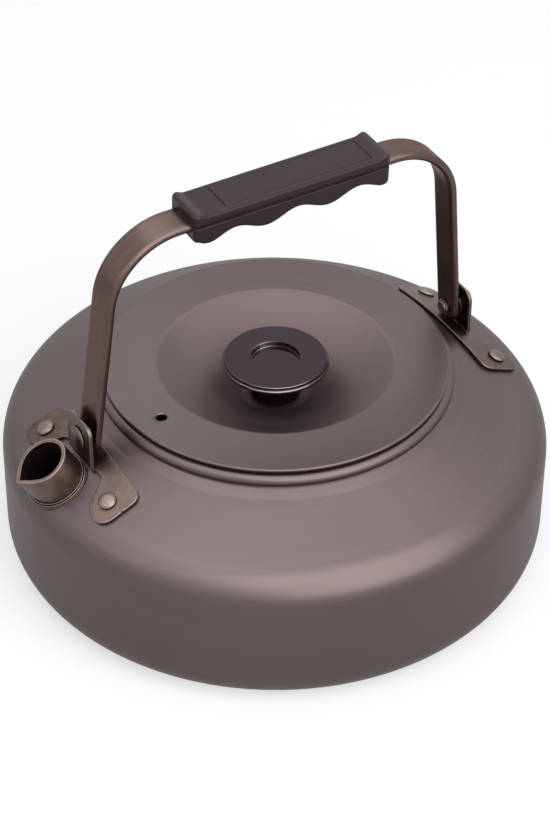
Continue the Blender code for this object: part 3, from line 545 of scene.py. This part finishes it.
def ear(name, sign):
    """The ear: a bar that follows the plate, bends up round a 0.8 mm arc and ends in round corners of 3.5 mm.
    Near the top its half width is 4.1 plus the root of 3.5 squared less the height above the corner's
    centre, squared."""
    top_z = PIVOT + EAR_ABOVE
    path = outline(
        (69.2, plate_z(69.2)), (EAR_X, plate_z(EAR_X), 0.8), (EAR_X, top_z - 4.0), longest=0.8)
    rise = EAR_ROUND * np.sin(np.radians(np.linspace(0, 86, 14)))
    cap = np.stack((np.full(14, EAR_X), top_z - EAR_ROUND + rise), 1)
    path = np.vstack((path, cap, [(EAR_X, top_z)]))
    ahead = np.gradient(path, axis=0)
    lean = np.arctan2(ahead[:, 1], ahead[:, 0]) - np.pi / 2
    above = np.clip((path[:, 1] - (top_z - EAR_ROUND)) / EAR_ROUND, 0, 1)
    half_width = EAR_FLAT + EAR_ROUND * np.sqrt(1 - above ** 2)
    half_thick = EAR_HALF_THICK - 0.2 * np.clip(71.0 - path[:, 0], 0, 1)
    half_thick = half_thick - 0.25 * np.clip(above * 10 - 9, 0, 1)

    def rooted(rows):
        """The root follows the cone: it sinks by (distance from the axis less x) times the slope's rise."""
        sag = (np.hypot(rows[..., 0], rows[..., 1]) - rows[..., 0]) * SLOPE_RISE
        root = np.clip(71.6 - path[:, :1], 0, 1)
        return (rows - (root * sag)[..., None] * (0, 0, 1)) * (sign, sign, 1)

    # painted shade on the ear's inner face
    return bent_bar(name, path, lean, half_width, half_thick, EAR_SECTION, rooted, inside=-0.7)


ENDS = (("front", -1), ("rear", 1))
brackets = []
for end, sign in ENDS:
    parts = [wing_plate(f"{end}_wings", sign), ear(f"{end}_ear", sign)]
    brackets.append(joined(f"{end}_bracket_folded", parts))
    print(end, "bracket:", len(brackets[-1].data.polygons), "faces")

# %% [markdown]
# ## Rivets and spacers
# A rivet head is a button, nearly flat on top and round at the rim. Four rivets stand on the shoulder along
# its normal, and two larger ones, each with a spacer, lie along the hinge. Each is a line turned about its
# own axis, and a frame, three directions and a place, carries the turned rows there.

# %% Rivets
def facing(place, normal):
    """A 4 x 4 placement whose Z is the given normal: X is any direction at right angles to it."""
    normal = unit(np.array(normal, float))
    aside = unit(np.cross((0, 1, 0.1), normal))
    return placement(aside, np.cross(normal, aside), normal, place)


def cap_line(radius, height, base, count=14):
    """The head's profile from its top to its rim: height times (1 - (r / radius) to the power 3.2) to the
    power 0.62, a button that is nearly flat on top and round at the rim."""
    far = np.sin(np.linspace(0.02, np.pi / 2, count))
    return np.stack((radius * far, base + height * (1 - far ** 3.2) ** 0.62), 1)


RIVET_X, RIVET_Y, RIVET_HEAD, PIVOT_HEAD = 72.97, 20.9, 3.0, 4.1
SPACER_FROM, SPACER_TO, SPACER_OUT, SPACER_IN = 70.17, 70.67, 4.2, 2.3
rivets = []
for end, sign in ENDS:
    for hand, side in (("left", 1), ("right", -1)):
        x, y = sign * RIVET_X, side * RIVET_Y
        radius = math.hypot(x, y)
        height, slope = shoulder(radius)
        normal = (math.sin(slope) * x / radius, math.sin(slope) * y / radius, math.cos(slope))
        line = outline(
            cap_line(RIVET_HEAD, 1.15, 1.75), (RIVET_HEAD, 1.6, 0.06), (1.6, 1.6), (1.6, -1.8),
            (2.6, -1.8, 0.2), (2.6, -2.8, 0.3), (0.4, -2.8), hold=0.05, longest=0.8)
        rows = moved(turned(line, 48), facing((x, y, float(height)), normal))
        # painted highlights on the rivet caps
        rivets.append(skin(f"rivet_{end}_{hand}", rows, edge=0.9 * (line[:, 1:] > 1.7)))
pivots, spacers = [], []
for end, sign in ENDS:
    line = outline(
        cap_line(PIVOT_HEAD, 0.95, 72.62), (PIVOT_HEAD, 72.47, 0.06), (2.0, 72.47), (2.0, 65.98),
        (2.7, 65.98, 0.1), (2.7, 65.4, 0.2), (2.2, 65.25, 0.1), (2.2, 64.7, 0.45), (0.3, 64.6),
        hold=0.05, longest=0.8)
    lying = facing((0, 0, PIVOT), (sign, 0, 0))
    pivots.append(skin(f"pivot_{end}", moved(turned(line, 56), lying)))
    line = outline(
        (SPACER_IN, SPACER_TO, 0.05), (SPACER_OUT, SPACER_TO, 0.12), (SPACER_OUT, SPACER_FROM, 0.12),
        (SPACER_IN, SPACER_FROM, 0.05), closed=True)
    spacers.append(skin(f"spacer_{end}", moved(turned(line, 56), lying), closed=True))

# %% [markdown]
# ## The bail
# The bail is a flat steel bar, bent twice, with its ends cut round. Its centre line is straight, an arc and
# straight again, and the legs lean in so that they meet the arcs smoothly. The bar is a little wider on the
# spout's side. The whole handle turns about the hinge, so we draw it upright, in heights above the hinge, and
# lean it by the angle of the photograph.

# %% Bar of the bail
BAIL_H, BEND, BEND_X, LEG_X = 71.8, 23.7, 38.9, 68.0
BAR_HALF_WIDTH, BAR_HALF_THICK, BAR_ROUND, BAR_WIDER = 5.25, 1.4, 1.25, 0.45
TIP_ROWS, BEND_ROWS = 22, 48
BAIL_LEAN = math.radians(2.4)
rise = BAIL_H - BEND
legs = math.hypot(LEG_X - BEND_X, rise)
splay = math.degrees(math.acos(BEND / legs) - math.atan2(rise, LEG_X - BEND_X))
cosine, sine = math.cos(BAIL_LEAN), math.sin(BAIL_LEAN)
hinge = np.eye(4)
hinge[1:3, 1:3] = ((cosine, -sine), (sine, cosine))
hinge[2, 3] = PIVOT
down = np.array((math.sin(math.radians(splay)), -math.cos(math.radians(splay))))
tip_turn = np.radians(np.linspace(84, 0, TIP_ROWS))
tip = np.array((LEG_X, 0.0)) + BAR_HALF_WIDTH * np.sin(tip_turn)[:, None] * down
bend = arc(BEND_X, rise, BEND, splay, 90, BEND_ROWS)
leg = np.linspace(tip[-1], bend[0], 24)[1:-1]
straight = np.linspace(bend[-1], bend[-1] * (-1, 1), 30)[1:-1]
half_path = np.vstack((tip, leg, bend))
path = np.vstack((half_path, straight, half_path[::-1] * (-1, 1)))
lean = np.concatenate((
    np.full(len(tip) + len(leg), math.radians(splay)),
    np.radians(np.linspace(splay, 90, BEND_ROWS + 1)), np.full(len(straight), math.pi / 2)))
lean = np.concatenate((lean, math.pi - lean[: len(half_path)][::-1]))
half_width = BAR_HALF_WIDTH + BAR_WIDER * np.clip(-path[:, 0] / 35, 0, 1)
half_width[:TIP_ROWS] *= np.cos(tip_turn)
half_width[-TIP_ROWS:] *= np.cos(tip_turn)[::-1]
half_thick = np.full(len(path), BAR_HALF_THICK)
bail = bent_bar(
    "bail_bar", path, lean, half_width, half_thick, BAR_ROUND, lambda rows: moved(rows, hinge))
print("legs splay", round(splay, 2), "degrees")


# %% [markdown]
# ## The grip
# Two moulded halves close round the bar. Cut across, each half is a rounded box open towards the other, and
# along the grip that section changes: the underside waves for the fingers, a fine groove outlines a panel
# in the top, and a lip rises at each end. So the shape is a section whose heights are functions of the place
# along the grip. The end faces are flat with rounded edges. Here the attribute of wear and painted light sets
# how much the plastic reflects: more on the lips, a painted sheen, and less in the panel's groove, most at
# its ends, and along a dirty smear at the parting.

# %% Grip halves
PART = BAIL_H + 0.8
TOP_H = BAIL_H + BAR_HALF_THICK + CLEARANCE + 2.8
LOW_H = BAIL_H - BAR_HALF_THICK - CLEARANCE - 4.8
END, HALF, END_ROUND, SIDE_ROUND = 35.1, 7.7, 1.7, 1.2
WAVE, WAVE_FROM, WAVE_DEEP = 22.1, -31.4, 3.1
PANEL_X, PANEL_HALF, PANEL_HALF_WIDTH = 3.0, 26.2, 5.4


def smooth(value):
    """A soft step: 3 v squared less 2 v cubed, for v held between 0 and 1."""
    value = np.clip(value, 0, 1)
    return value * value * (3 - 2 * value)


def top_height(x):
    """Height of the top line: level, then at each end a hollow that climbs by 1.16 mm times t to the 1.7,
    where t runs from 0 to 1 over 2.9 mm, and the lip's top falls back by up to 15 percent of the climb."""
    climb = np.clip((np.abs(x) - (END - 4.6)) / 2.9, 0, 1)
    return TOP_H + 1.16 * climb ** 1.7 * (1 - 0.15 * smooth((climb - 0.7) / 0.3))


def low_height(x):
    """Height of the underside: waves of 22.1 mm from x = -31.4 on, (1 - cos) / 2 times 3.1 mm, and a quarter
    of an ellipse at each end, longer and higher at the end over the spout."""
    wave = 0.5 - 0.5 * np.cos(2 * np.pi * np.clip(x - WAVE_FROM, 0, None) / WAVE)
    start, rise = np.where(x < 0, 27.0, 31.5), np.where(x < 0, 4.8, 3.0)
    past = np.clip((np.abs(x) - start) / (35.3 - start), 0, 1)
    return LOW_H + WAVE_DEEP * wave + rise * (1 - np.sqrt(1 - past ** 2))


def stations(marks):
    """Places along the grip: seven close together round each mark, and 150 even ones."""
    straight_end = END - END_ROUND
    spots = [np.linspace(-straight_end, straight_end, 150)]
    spots += [mark + np.linspace(-0.3, 0.3, 7) for mark in marks]
    spots = np.unique(np.round(np.concatenate(spots), 4))
    return spots[np.abs(spots) <= straight_end]


def grip_half(name, far_height, marks, upper):
    """One half: at each place along it a loop goes up one side, over (or under), down the other side and back
    along the parting face. Where d is the distance to the panel's outline, the top sinks by 0.3 mm times
    e to the power -(d / 0.17) squared, and the flash line above the parting does the same across the side."""
    x = stations(marks)
    sign = 1 if upper else -1
    part = PART + sign * 0.15
    quarter = np.radians(np.linspace(0, 90, 9))
    groove = np.linspace(-0.3, 0.3, 7)
    level = np.unique(np.concatenate((
        np.linspace(-1, 1, 19) * (HALF - SIDE_ROUND), PANEL_HALF_WIDTH + groove, -PANEL_HALF_WIDTH + groove)))
    far = far_height(x)[:, None]
    side_share = np.array((0.07, 0.11, 0.2, 0.3, 0.36, 0.42, 0.48, 0.54, 0.64, 0.82))
    bend_from = far - sign * SIDE_ROUND
    rise_up = bend_from - part
    loop_y = np.concatenate((
        np.full(10, HALF), HALF - SIDE_ROUND + SIDE_ROUND * np.cos(quarter), level[::-1][1:-1],
        -(HALF - SIDE_ROUND) - SIDE_ROUND * np.cos(quarter[::-1]), np.full(10, -HALF),
        np.linspace(-HALF + 0.3, HALF - 0.3, 8)))
    loop_h = np.hstack((
        part + rise_up * side_share, bend_from + sign * SIDE_ROUND * np.sin(quarter), far + 0 * level[1:-1],
        bend_from + sign * SIDE_ROUND * np.sin(quarter[::-1]), part + rise_up * side_share[::-1],
        part + 0 * far + np.zeros(8)))
    loop_y = loop_y[None, :] + 0 * loop_h
    sheen_and_dirt = 0 * loop_h
    if upper:
        at = x[:, None]
        from_middle = np.abs(at - PANEL_X)
        edge = np.maximum(from_middle - PANEL_HALF, np.abs(loop_y) - PANEL_HALF_WIDTH)
        sunk = bell(edge, 0, 0.17) * (loop_h > TOP_H - 0.6)
        across_end = smooth((from_middle - 25.4) / 0.6)
        side = np.abs(loop_y) > HALF - 0.1
        seam = part + 0.62 + 0.09 * np.sin(at * 1.9) + 0.06 * np.sin(at * 4.7 + 1)
        flash = bell(loop_h, seam, 0.16) * side
        smear = bell(loop_h, seam, 0.3) * side
        smear *= 0.6 + 0.25 * np.sin(at * 2.3) + 0.15 * np.sin(at * 5.9 + 2)
        # a painted sheen on the lips; less reflection in the panel's groove, most at its ends, and dirt along
        # the parting
        painted_lip_sheen = bell(np.abs(at), 33.0, 0.9) * (loop_h > TOP_H - 0.3)
        sheen_and_dirt = np.clip(0.5 * painted_lip_sheen - sunk * (0.25 + 0.35 * across_end) - smear - 0.4 * flash, -1, 1)
        loop_h = loop_h - 0.3 * sunk
        loop_y = loop_y - np.sign(loop_y) * 0.24 * flash
    rows = np.stack((x[:, None] + 0 * loop_h, loop_y, loop_h), 2)
    middle = np.array((0, 0, part))

    def shrunk(row, by, at):
        """A loop drawn in by some mm towards the middle of the parting line, at another place along x."""
        reach = np.abs(row - middle).max(0)
        scale = 1 - by / np.maximum(reach, 1.0)
        drawn = middle + (row - middle) * scale
        drawn[:, 0] = at
        return drawn[None]

    turns = np.radians(np.linspace(9, 90, 10))
    round_end = [(1.4 * (1 - math.cos(a)), END - END_ROUND + END_ROUND * math.sin(a)) for a in turns]
    round_end += [(1.55, END), (2.4, END - 0.06)]
    high = [shrunk(rows[-1], by, at) for by, at in round_end]
    low = [shrunk(rows[0], by, -at) for by, at in round_end]
    sheen_and_dirt = np.vstack((np.repeat(sheen_and_dirt[:1], len(low), 0), sheen_and_dirt, np.repeat(sheen_and_dirt[-1:], len(high), 0)))
    return skin(name, moved(np.vstack((*low[::-1], rows, *high)), hinge), edge=sheen_and_dirt)


panel_marks = (PANEL_X - PANEL_HALF, PANEL_X + PANEL_HALF, -33.6, 33.6)
grip_top = grip_half("grip_top", top_height, panel_marks, True)
grip_under = grip_half("grip_under", low_height, (-31.5, 31.5, -33.7, 33.7), False)

# %% [markdown]
# ## Finishes
# A finish is colour, shine and relief together. The spun aluminium has thousands of faint turning lines, so
# its pattern reads the distance from the axis and the height, and hardly the angle. Steel fittings are
# mottled and bright where their edges have rubbed. They also carry painted highlights on the rivet heads and
# the spout ring's beads, and painted shade under the wing plates' edges, towards the ears, on the ears' inner
# faces, in the ring's groove and on two of the four wings. Wear and most of the painted light are stored in
# one attribute: above 0 for bright places and below 0 for painted shade. The bail is drawn lengthwise, so its
# lines follow the map that we laid along it.

# %% Node helpers
def finish(name, metallic=0.0):
    """A Principled material, with its node tree ready for more nodes."""
    made = bpy.data.materials.new(name)
    made.use_nodes = True
    shader = made.node_tree.nodes["Principled BSDF"]
    shader.inputs["Metallic"].default_value = metallic
    return made, made.node_tree, shader


def node(tree, kind, links=(), **settings):
    """A node with its settings: names that are sockets get a value, the others are properties."""
    made = tree.nodes.new(kind)
    for key, value in settings.items():
        name = key.replace("_", " ")
        if name in made.inputs:
            made.inputs[name].default_value = value
        else:
            setattr(made, key, value)
    for socket, source in links:
        tree.links.new(source, made.inputs[socket])
    return made


def maths(tree, operation, first, second=None):
    """One arithmetic node on two sockets or numbers."""
    made = tree.nodes.new("ShaderNodeMath")
    made.operation = operation
    for index, value in enumerate((first, second)):
        if isinstance(value, bpy.types.NodeSocket):
            tree.links.new(value, made.inputs[index])
        elif value is not None:
            made.inputs[index].default_value = value
    return made.outputs[0]


def shares(tree, first, share, second, rest):
    """Two values, each times its share, added."""
    return maths(tree, "ADD", maths(tree, "MULTIPLY", first, share), maths(tree, "MULTIPLY", second, rest))


def spread(tree, value, low, high):
    """A value from 0 to 1, stretched to run from low to high."""
    return node(tree, "ShaderNodeMapRange", [("Value", value)], To_Min=low, To_Max=high).outputs["Result"]


COLOUR_A, COLOUR_B, COLOUR_OUT = 6, 7, 2


def tinted(tree, value, dark, bright):
    """A colour between two, by a value from 0 to 1."""
    mix = node(tree, "ShaderNodeMix", [("Factor", value)], data_type="RGBA")
    mix.inputs[COLOUR_A].default_value = (*dark, 1)
    mix.inputs[COLOUR_B].default_value = (*bright, 1)
    return mix.outputs[COLOUR_OUT]


def noise(tree, place, scale, detail):
    """The value of a cloudy pattern at a place, from 0 to 1."""
    return node(tree, "ShaderNodeTexNoise", [("Vector", place)], Scale=scale, Detail=detail).outputs["Fac"]


def stretched(tree, place, scales):
    """A place with each of its three numbers multiplied, so that a pattern gets finer that way."""
    made = node(tree, "ShaderNodeMapping", [("Vector", place)])
    made.inputs["Scale"].default_value = scales
    return made.outputs["Vector"]


def read(tree):
    """Where a point is on its object, in metres, and its value of wear and painted light."""
    place = node(tree, "ShaderNodeTexCoord").outputs["Object"]
    return place, node(tree, "ShaderNodeAttribute", attribute_name="wear_and_painted_light").outputs["Fac"]


def feed(tree, shader, **sources):
    """Links sockets into the shader's inputs, by their names with _ for a space."""
    for name, source in sources.items():
        tree.links.new(source, shader.inputs[name.replace("_", " ")])


def relief(tree, shader, height, strength, distance):
    """A bump from a height socket, into the shader's normal."""
    bump = node(tree, "ShaderNodeBump", [("Height", height)], Strength=strength, Distance=distance)
    feed(tree, shader, Normal=bump.outputs["Normal"])


print("helpers ready: finish, node, maths, shares, spread, tinted, noise, stretched, read, feed, relief")

# %% Spun, anodised aluminium
ALUMINIUM = (0.140, 0.1085, 0.1075)
DARKEST, BRIGHTEST = 0.78, 1.22
MATT_FROM, MATT_RISE, MATT_MOST = 0.034, 3.0, 0.22
spun, tree, shader = finish("anodised_spun_aluminium", 0.92)
place = node(tree, "ShaderNodeTexCoord").outputs["Object"]
split = node(tree, "ShaderNodeSeparateXYZ", [("Vector", place)])
x, y, z = (split.outputs[k] for k in range(3))
squares = maths(tree, "ADD", maths(tree, "MULTIPLY", x, x), maths(tree, "MULTIPLY", y, y))
radius = maths(tree, "SQRT", squares)
flat_x, flat_y = maths(tree, "DIVIDE", x, radius), maths(tree, "DIVIDE", y, radius)
across_lines = maths(tree, "SUBTRACT", radius, maths(tree, "MULTIPLY", z, 1.3))


def turning_lines(per_metre, round_share):
    """Noise on (radius less 1.3 times the height, times a fineness; direction times a small share): long
    rings, hardly broken."""
    vector = node(tree, "ShaderNodeCombineXYZ")
    tree.links.new(maths(tree, "MULTIPLY", across_lines, per_metre), vector.inputs[0])
    tree.links.new(maths(tree, "MULTIPLY", flat_x, round_share), vector.inputs[1])
    tree.links.new(maths(tree, "MULTIPLY", flat_y, round_share), vector.inputs[2])
    return noise(tree, vector.outputs[0], 1.0, 3.0)


fine, wide = turning_lines(3800.0, 2.5), turning_lines(420.0, 0.8)
cloud = noise(tree, place, 14.0, 2.0)
lines = shares(tree, fine, 0.55, wide, 0.45)
tone = shares(tree, lines, 0.6, cloud, 0.4)
dark, bright = ([c * times for c in ALUMINIUM] for times in (DARKEST, BRIGHTEST))
near_axis = maths(tree, "SUBTRACT", 1.0, maths(tree, "DIVIDE", radius, MATT_FROM))
near_axis = maths(tree, "MULTIPLY", maths(tree, "MAXIMUM", near_axis, 0.0), MATT_RISE)
matt = maths(tree, "MULTIPLY", maths(tree, "MINIMUM", near_axis, 1.0), MATT_MOST)
tangent = node(tree, "ShaderNodeTangent", direction_type="UV_MAP", uv_map="along")
feed(
    tree, shader, Base_Color=tinted(tree, tone, dark, bright), Tangent=tangent.outputs[0],
    Roughness=maths(tree, "ADD", spread(tree, lines, 0.30, 0.45), matt))
relief(tree, shader, fine, 0.12, 0.00004)
shader.inputs["Anisotropic"].default_value = 0.45
shader.inputs["Specular Tint"].default_value = (0.86, 0.84, 0.84, 1)
print("spun aluminium:", len(tree.nodes), "nodes")

# %% Steel of the fittings
WING_SHADE_RISE, WING_SHADE_MOST = -680.0, 0.2
steel, tree, shader = finish("fitting_steel", 1.0)
place, wear_and_painted_light = read(tree)
mottle, patch = noise(tree, place, 420.0, 4.0), noise(tree, place, 90.0, 3.0)
tone = shares(tree, mottle, 0.5, patch, 0.5)
# rubbed edges lighten the tone, and so do painted highlights; painted shade darkens it
tone = maths(tree, "ADD", maths(tree, "MULTIPLY", wear_and_painted_light, 0.5), tone)
# painted shade: darker where x times y is below 0, most on the front left and rear right wings
split = node(tree, "ShaderNodeSeparateXYZ", [("Vector", place)])
crossed = maths(tree, "MULTIPLY", split.outputs[0], split.outputs[1])
crossed = maths(tree, "MAXIMUM", maths(tree, "MULTIPLY", crossed, WING_SHADE_RISE), 0.0)
painted_wing_shade = maths(tree, "MULTIPLY", maths(tree, "MINIMUM", crossed, 1.0), WING_SHADE_MOST)
tone = maths(tree, "SUBTRACT", tone, painted_wing_shade)
feed(
    tree, shader, Base_Color=tinted(tree, tone, (0.055, 0.037, 0.030), (0.26, 0.197, 0.172)),
    Roughness=spread(tree, mottle, 0.28, 0.50))
relief(tree, shader, mottle, 0.18, 0.00008)
print("fitting steel:", len(tree.nodes), "nodes")

# %% Steel of the bail
bronze, tree, shader = finish("bail_steel", 1.0)
flow = node(tree, "ShaderNodeUVMap", uv_map="along").outputs["UV"]
drawn = noise(tree, stretched(tree, flow, (60.0, 40.0, 1.0)), 1.0, 4.0)
place = node(tree, "ShaderNodeTexCoord").outputs["Object"]
patch = noise(tree, place, 60.0, 4.0)
tone = shares(tree, drawn, 0.55, patch, 0.45)
feed(
    tree, shader, Base_Color=tinted(tree, tone, (0.070, 0.048, 0.044), (0.200, 0.138, 0.124)),
    Roughness=spread(tree, drawn, 0.22, 0.38))
shader.inputs["Specular Tint"].default_value = (0.75, 0.67, 0.64, 1)
relief(tree, shader, drawn, 0.10, 0.00005)
print("bail steel:", len(tree.nodes), "nodes")

# %% Gloss black of the knob
PLAIN_IOR, PAINTED_HIGHLIGHT_IOR = 1.46, 1.6
gloss, tree, shader = finish("knob_plastic")
place, wear_and_painted_light = read(tree)
grain, haze = noise(tree, place, 700.0, 3.0), noise(tree, place, 110.0, 4.0)
# below 0 the stem's reflection is turned down: painted shade. Above 0 a higher IOR and a white tint: painted
# highlights
reflection_less_stem_shade = maths(tree, "MINIMUM", maths(tree, "ADD", wear_and_painted_light, 1.0), 1.0)
painted_highlight = maths(tree, "MAXIMUM", wear_and_painted_light, 0.0)
feed(
    tree, shader, Base_Color=tinted(tree, haze, (0.004, 0.002, 0.003), (0.010, 0.005, 0.008)),
    Roughness=spread(tree, haze, 0.05, 0.20), Specular_IOR_Level=maths(tree, "MULTIPLY", reflection_less_stem_shade, 0.5),
    IOR=maths(tree, "ADD", maths(tree, "MULTIPLY", painted_highlight, PAINTED_HIGHLIGHT_IOR), PLAIN_IOR),
    Specular_Tint=tinted(tree, painted_highlight, (1.0, 0.70, 0.84), (1.0, 1.0, 1.0)))
relief(tree, shader, grain, 0.05, 0.00003)
print("knob plastic:", len(tree.nodes), "nodes")

# %% Satin black of the grip
satin, tree, shader = finish("grip_plastic")
place, sheen_and_dirt = read(tree)
grain, haze = noise(tree, place, 1500.0, 3.0), noise(tree, place, 160.0, 5.0)
scuff = noise(tree, stretched(tree, place, (45.0, 620.0, 620.0)), 1.0, 5.0)
tone = shares(tree, haze, 0.4, scuff, 0.6)
# the attribute turns the reflection up on the lips, a painted sheen, and down in the groove and along the
# parting's dirt
feed(
    tree, shader, Base_Color=tinted(tree, tone, (0.001, 0.0005, 0.0005), (0.030, 0.0145, 0.020)),
    Roughness=spread(tree, tone, 0.20, 0.58),
    Specular_IOR_Level=maths(tree, "MULTIPLY", maths(tree, "ADD", sheen_and_dirt, 1.0), 0.5))
shader.inputs["IOR"].default_value = 1.39
shader.inputs["Specular Tint"].default_value = (1.0, 0.82, 0.87, 1)
relief(tree, shader, grain, 0.25, 0.00008)
print("grip plastic:", len(tree.nodes), "nodes")

# %% [markdown]
# ## Who wears what, and what moves with what
# Each new piece takes its finish, rides on the body that carries it, and stands in for the CAD node whose
# place it took. The knob's screw and washer are under the lid, where the CAD solid is good enough, so they
# only get the steel.

# %% Dress and mount
worn_by = [
    (shell, spun, "anodised_aluminium", "kettle", ["kettle_body"]),
    (lid, spun, "anodised_aluminium", "lid", ["lid"]),
    (knob, gloss, "knob_plastic", "lid", ["knob"]),
    (spout, steel, "fitting_steel", "kettle", ["spout_tube"]),
    (spout_ring, steel, "fitting_steel", "kettle", ["spout_collar"]),
    (brackets[0], steel, "fitting_steel", "kettle", ["front_bracket"]),
    (brackets[1], steel, "fitting_steel", "kettle", ["rear_bracket"]),
    (bail, bronze, "bail_steel", "bail", ["bail_strip"]),
    (grip_top, satin, "grip_plastic", "bail", ["grip_upper"]),
    (grip_under, satin, "grip_plastic", "bail", ["grip_lower"]),
]
for rivet, spot in zip(rivets, ("front_left", "front_right", "rear_left", "rear_right")):
    worn_by.append((rivet, steel, "fitting_steel", "kettle", [f"bracket_rivet_{spot}"]))
for end, pivot, spacer in zip(("front", "rear"), pivots, spacers):
    worn_by.append((pivot, steel, "fitting_steel", "kettle", [f"pivot_rivet_{end}"]))
    worn_by.append((spacer, steel, "fitting_steel", "kettle", [f"pivot_washer_{end}"]))
for piece, look, slot, body, nodes in worn_by:
    piece.data.materials.clear()
    piece.data.materials.append(look)
    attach(piece, body)
    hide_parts(*nodes)
for name in ("knob_screw", "knob_washer"):
    frame["nodes"][name].data.materials[0] = steel
print(len(worn_by), "pieces dressed, 2 CAD nodes kept")

# %% [markdown]
# ## Floor and light
# Brushed metal shows its lamps as long soft bands, so the lamps are wide panels: a strong one on the viewer's
# right, a weaker one on the left, and one over the kettle that keeps the flat lid and the shoulder from
# going dark. The world is dim to the diffuse light but white to the camera and in reflections, as a paper
# backdrop would be, and the floor gives the camera a little light of its own.

# %% Stage
FLOOR_HALF = 4
GLOW_SEEN, GLOW_MIRRORED = 0.57, 0.30
PAPER, PAPER_SEEN = (0.8, 0.8, 0.8), (0.5, 0.5, 0.5)
SKY, SKY_SEEN = 0.06, 1.0
WHITE = (1, 1, 1, 1)
floor_mesh = bpy.data.meshes.new("floor")
sides = ((-1, -1), (1, -1), (1, 1), (-1, 1))
floor_mesh.from_pydata([(FLOOR_HALF * a, FLOOR_HALF * b, 0) for a, b in sides], [], [(0, 1, 2, 3)])
floor = added("floor", floor_mesh)
paper, tree, shader = finish("paper_floor")
path = node(tree, "ShaderNodeLightPath")
looked_at, mirrored = path.outputs["Is Camera Ray"], path.outputs["Is Glossy Ray"]
seen = maths(tree, "MAXIMUM", looked_at, mirrored)
feed(
    tree, shader, Base_Color=tinted(tree, seen, PAPER, PAPER_SEEN),
    Emission_Strength=shares(tree, looked_at, GLOW_SEEN, mirrored, GLOW_MIRRORED))
shader.inputs["Roughness"].default_value = 0.9
shader.inputs["Specular IOR Level"].default_value = 0.1
shader.inputs["Emission Color"].default_value = WHITE
floor.data.materials.append(paper)

world = bpy.data.worlds.new("studio")
bpy.context.scene.world = world
world.use_nodes = True
tree = world.node_tree
path = node(tree, "ShaderNodeLightPath")
seen = maths(tree, "MAXIMUM", path.outputs["Is Camera Ray"], path.outputs["Is Glossy Ray"])
seen = maths(tree, "MAXIMUM", seen, path.outputs["Is Transmission Ray"])
sky = tree.nodes["Background"]
sky.inputs["Color"].default_value = WHITE
feed(tree, sky, Strength=spread(tree, seen, SKY, SKY_SEEN))


def softbox(name, elevation, bearing, distance, width, height, radiance):
    """A wide area lamp aimed at the kettle. Its power is the radiance times pi times its area, and its
    bearing counts from the viewer's side, to the viewer's right."""
    data = bpy.data.lights.new(name, "AREA")
    data.shape, data.size, data.size_y = "RECTANGLE", width, height
    data.energy = radiance * math.pi * width * height
    a, b = math.radians(elevation), math.atan2(-view[1], -view[0]) + math.radians(bearing)
    away = np.array((math.cos(a) * math.cos(b), math.cos(a) * math.sin(b), math.sin(a)))
    aside = unit(np.cross((0, 0, 1), away))
    added(name, data, placement(aside, np.cross(away, aside), away, away * distance))
    print(name, "power", round(data.energy, 2), "W")


softbox("key_right", 38, 35, distance=1.6, width=2.1, height=1.8, radiance=2.15)
softbox("key_left", 50, -42, distance=1.6, width=1.9, height=1.5, radiance=0.8)
softbox("overhead", 78, 180, distance=1.6, width=1.9, height=2.0, radiance=1.0)
bpy.context.scene.view_settings.view_transform = "Standard"
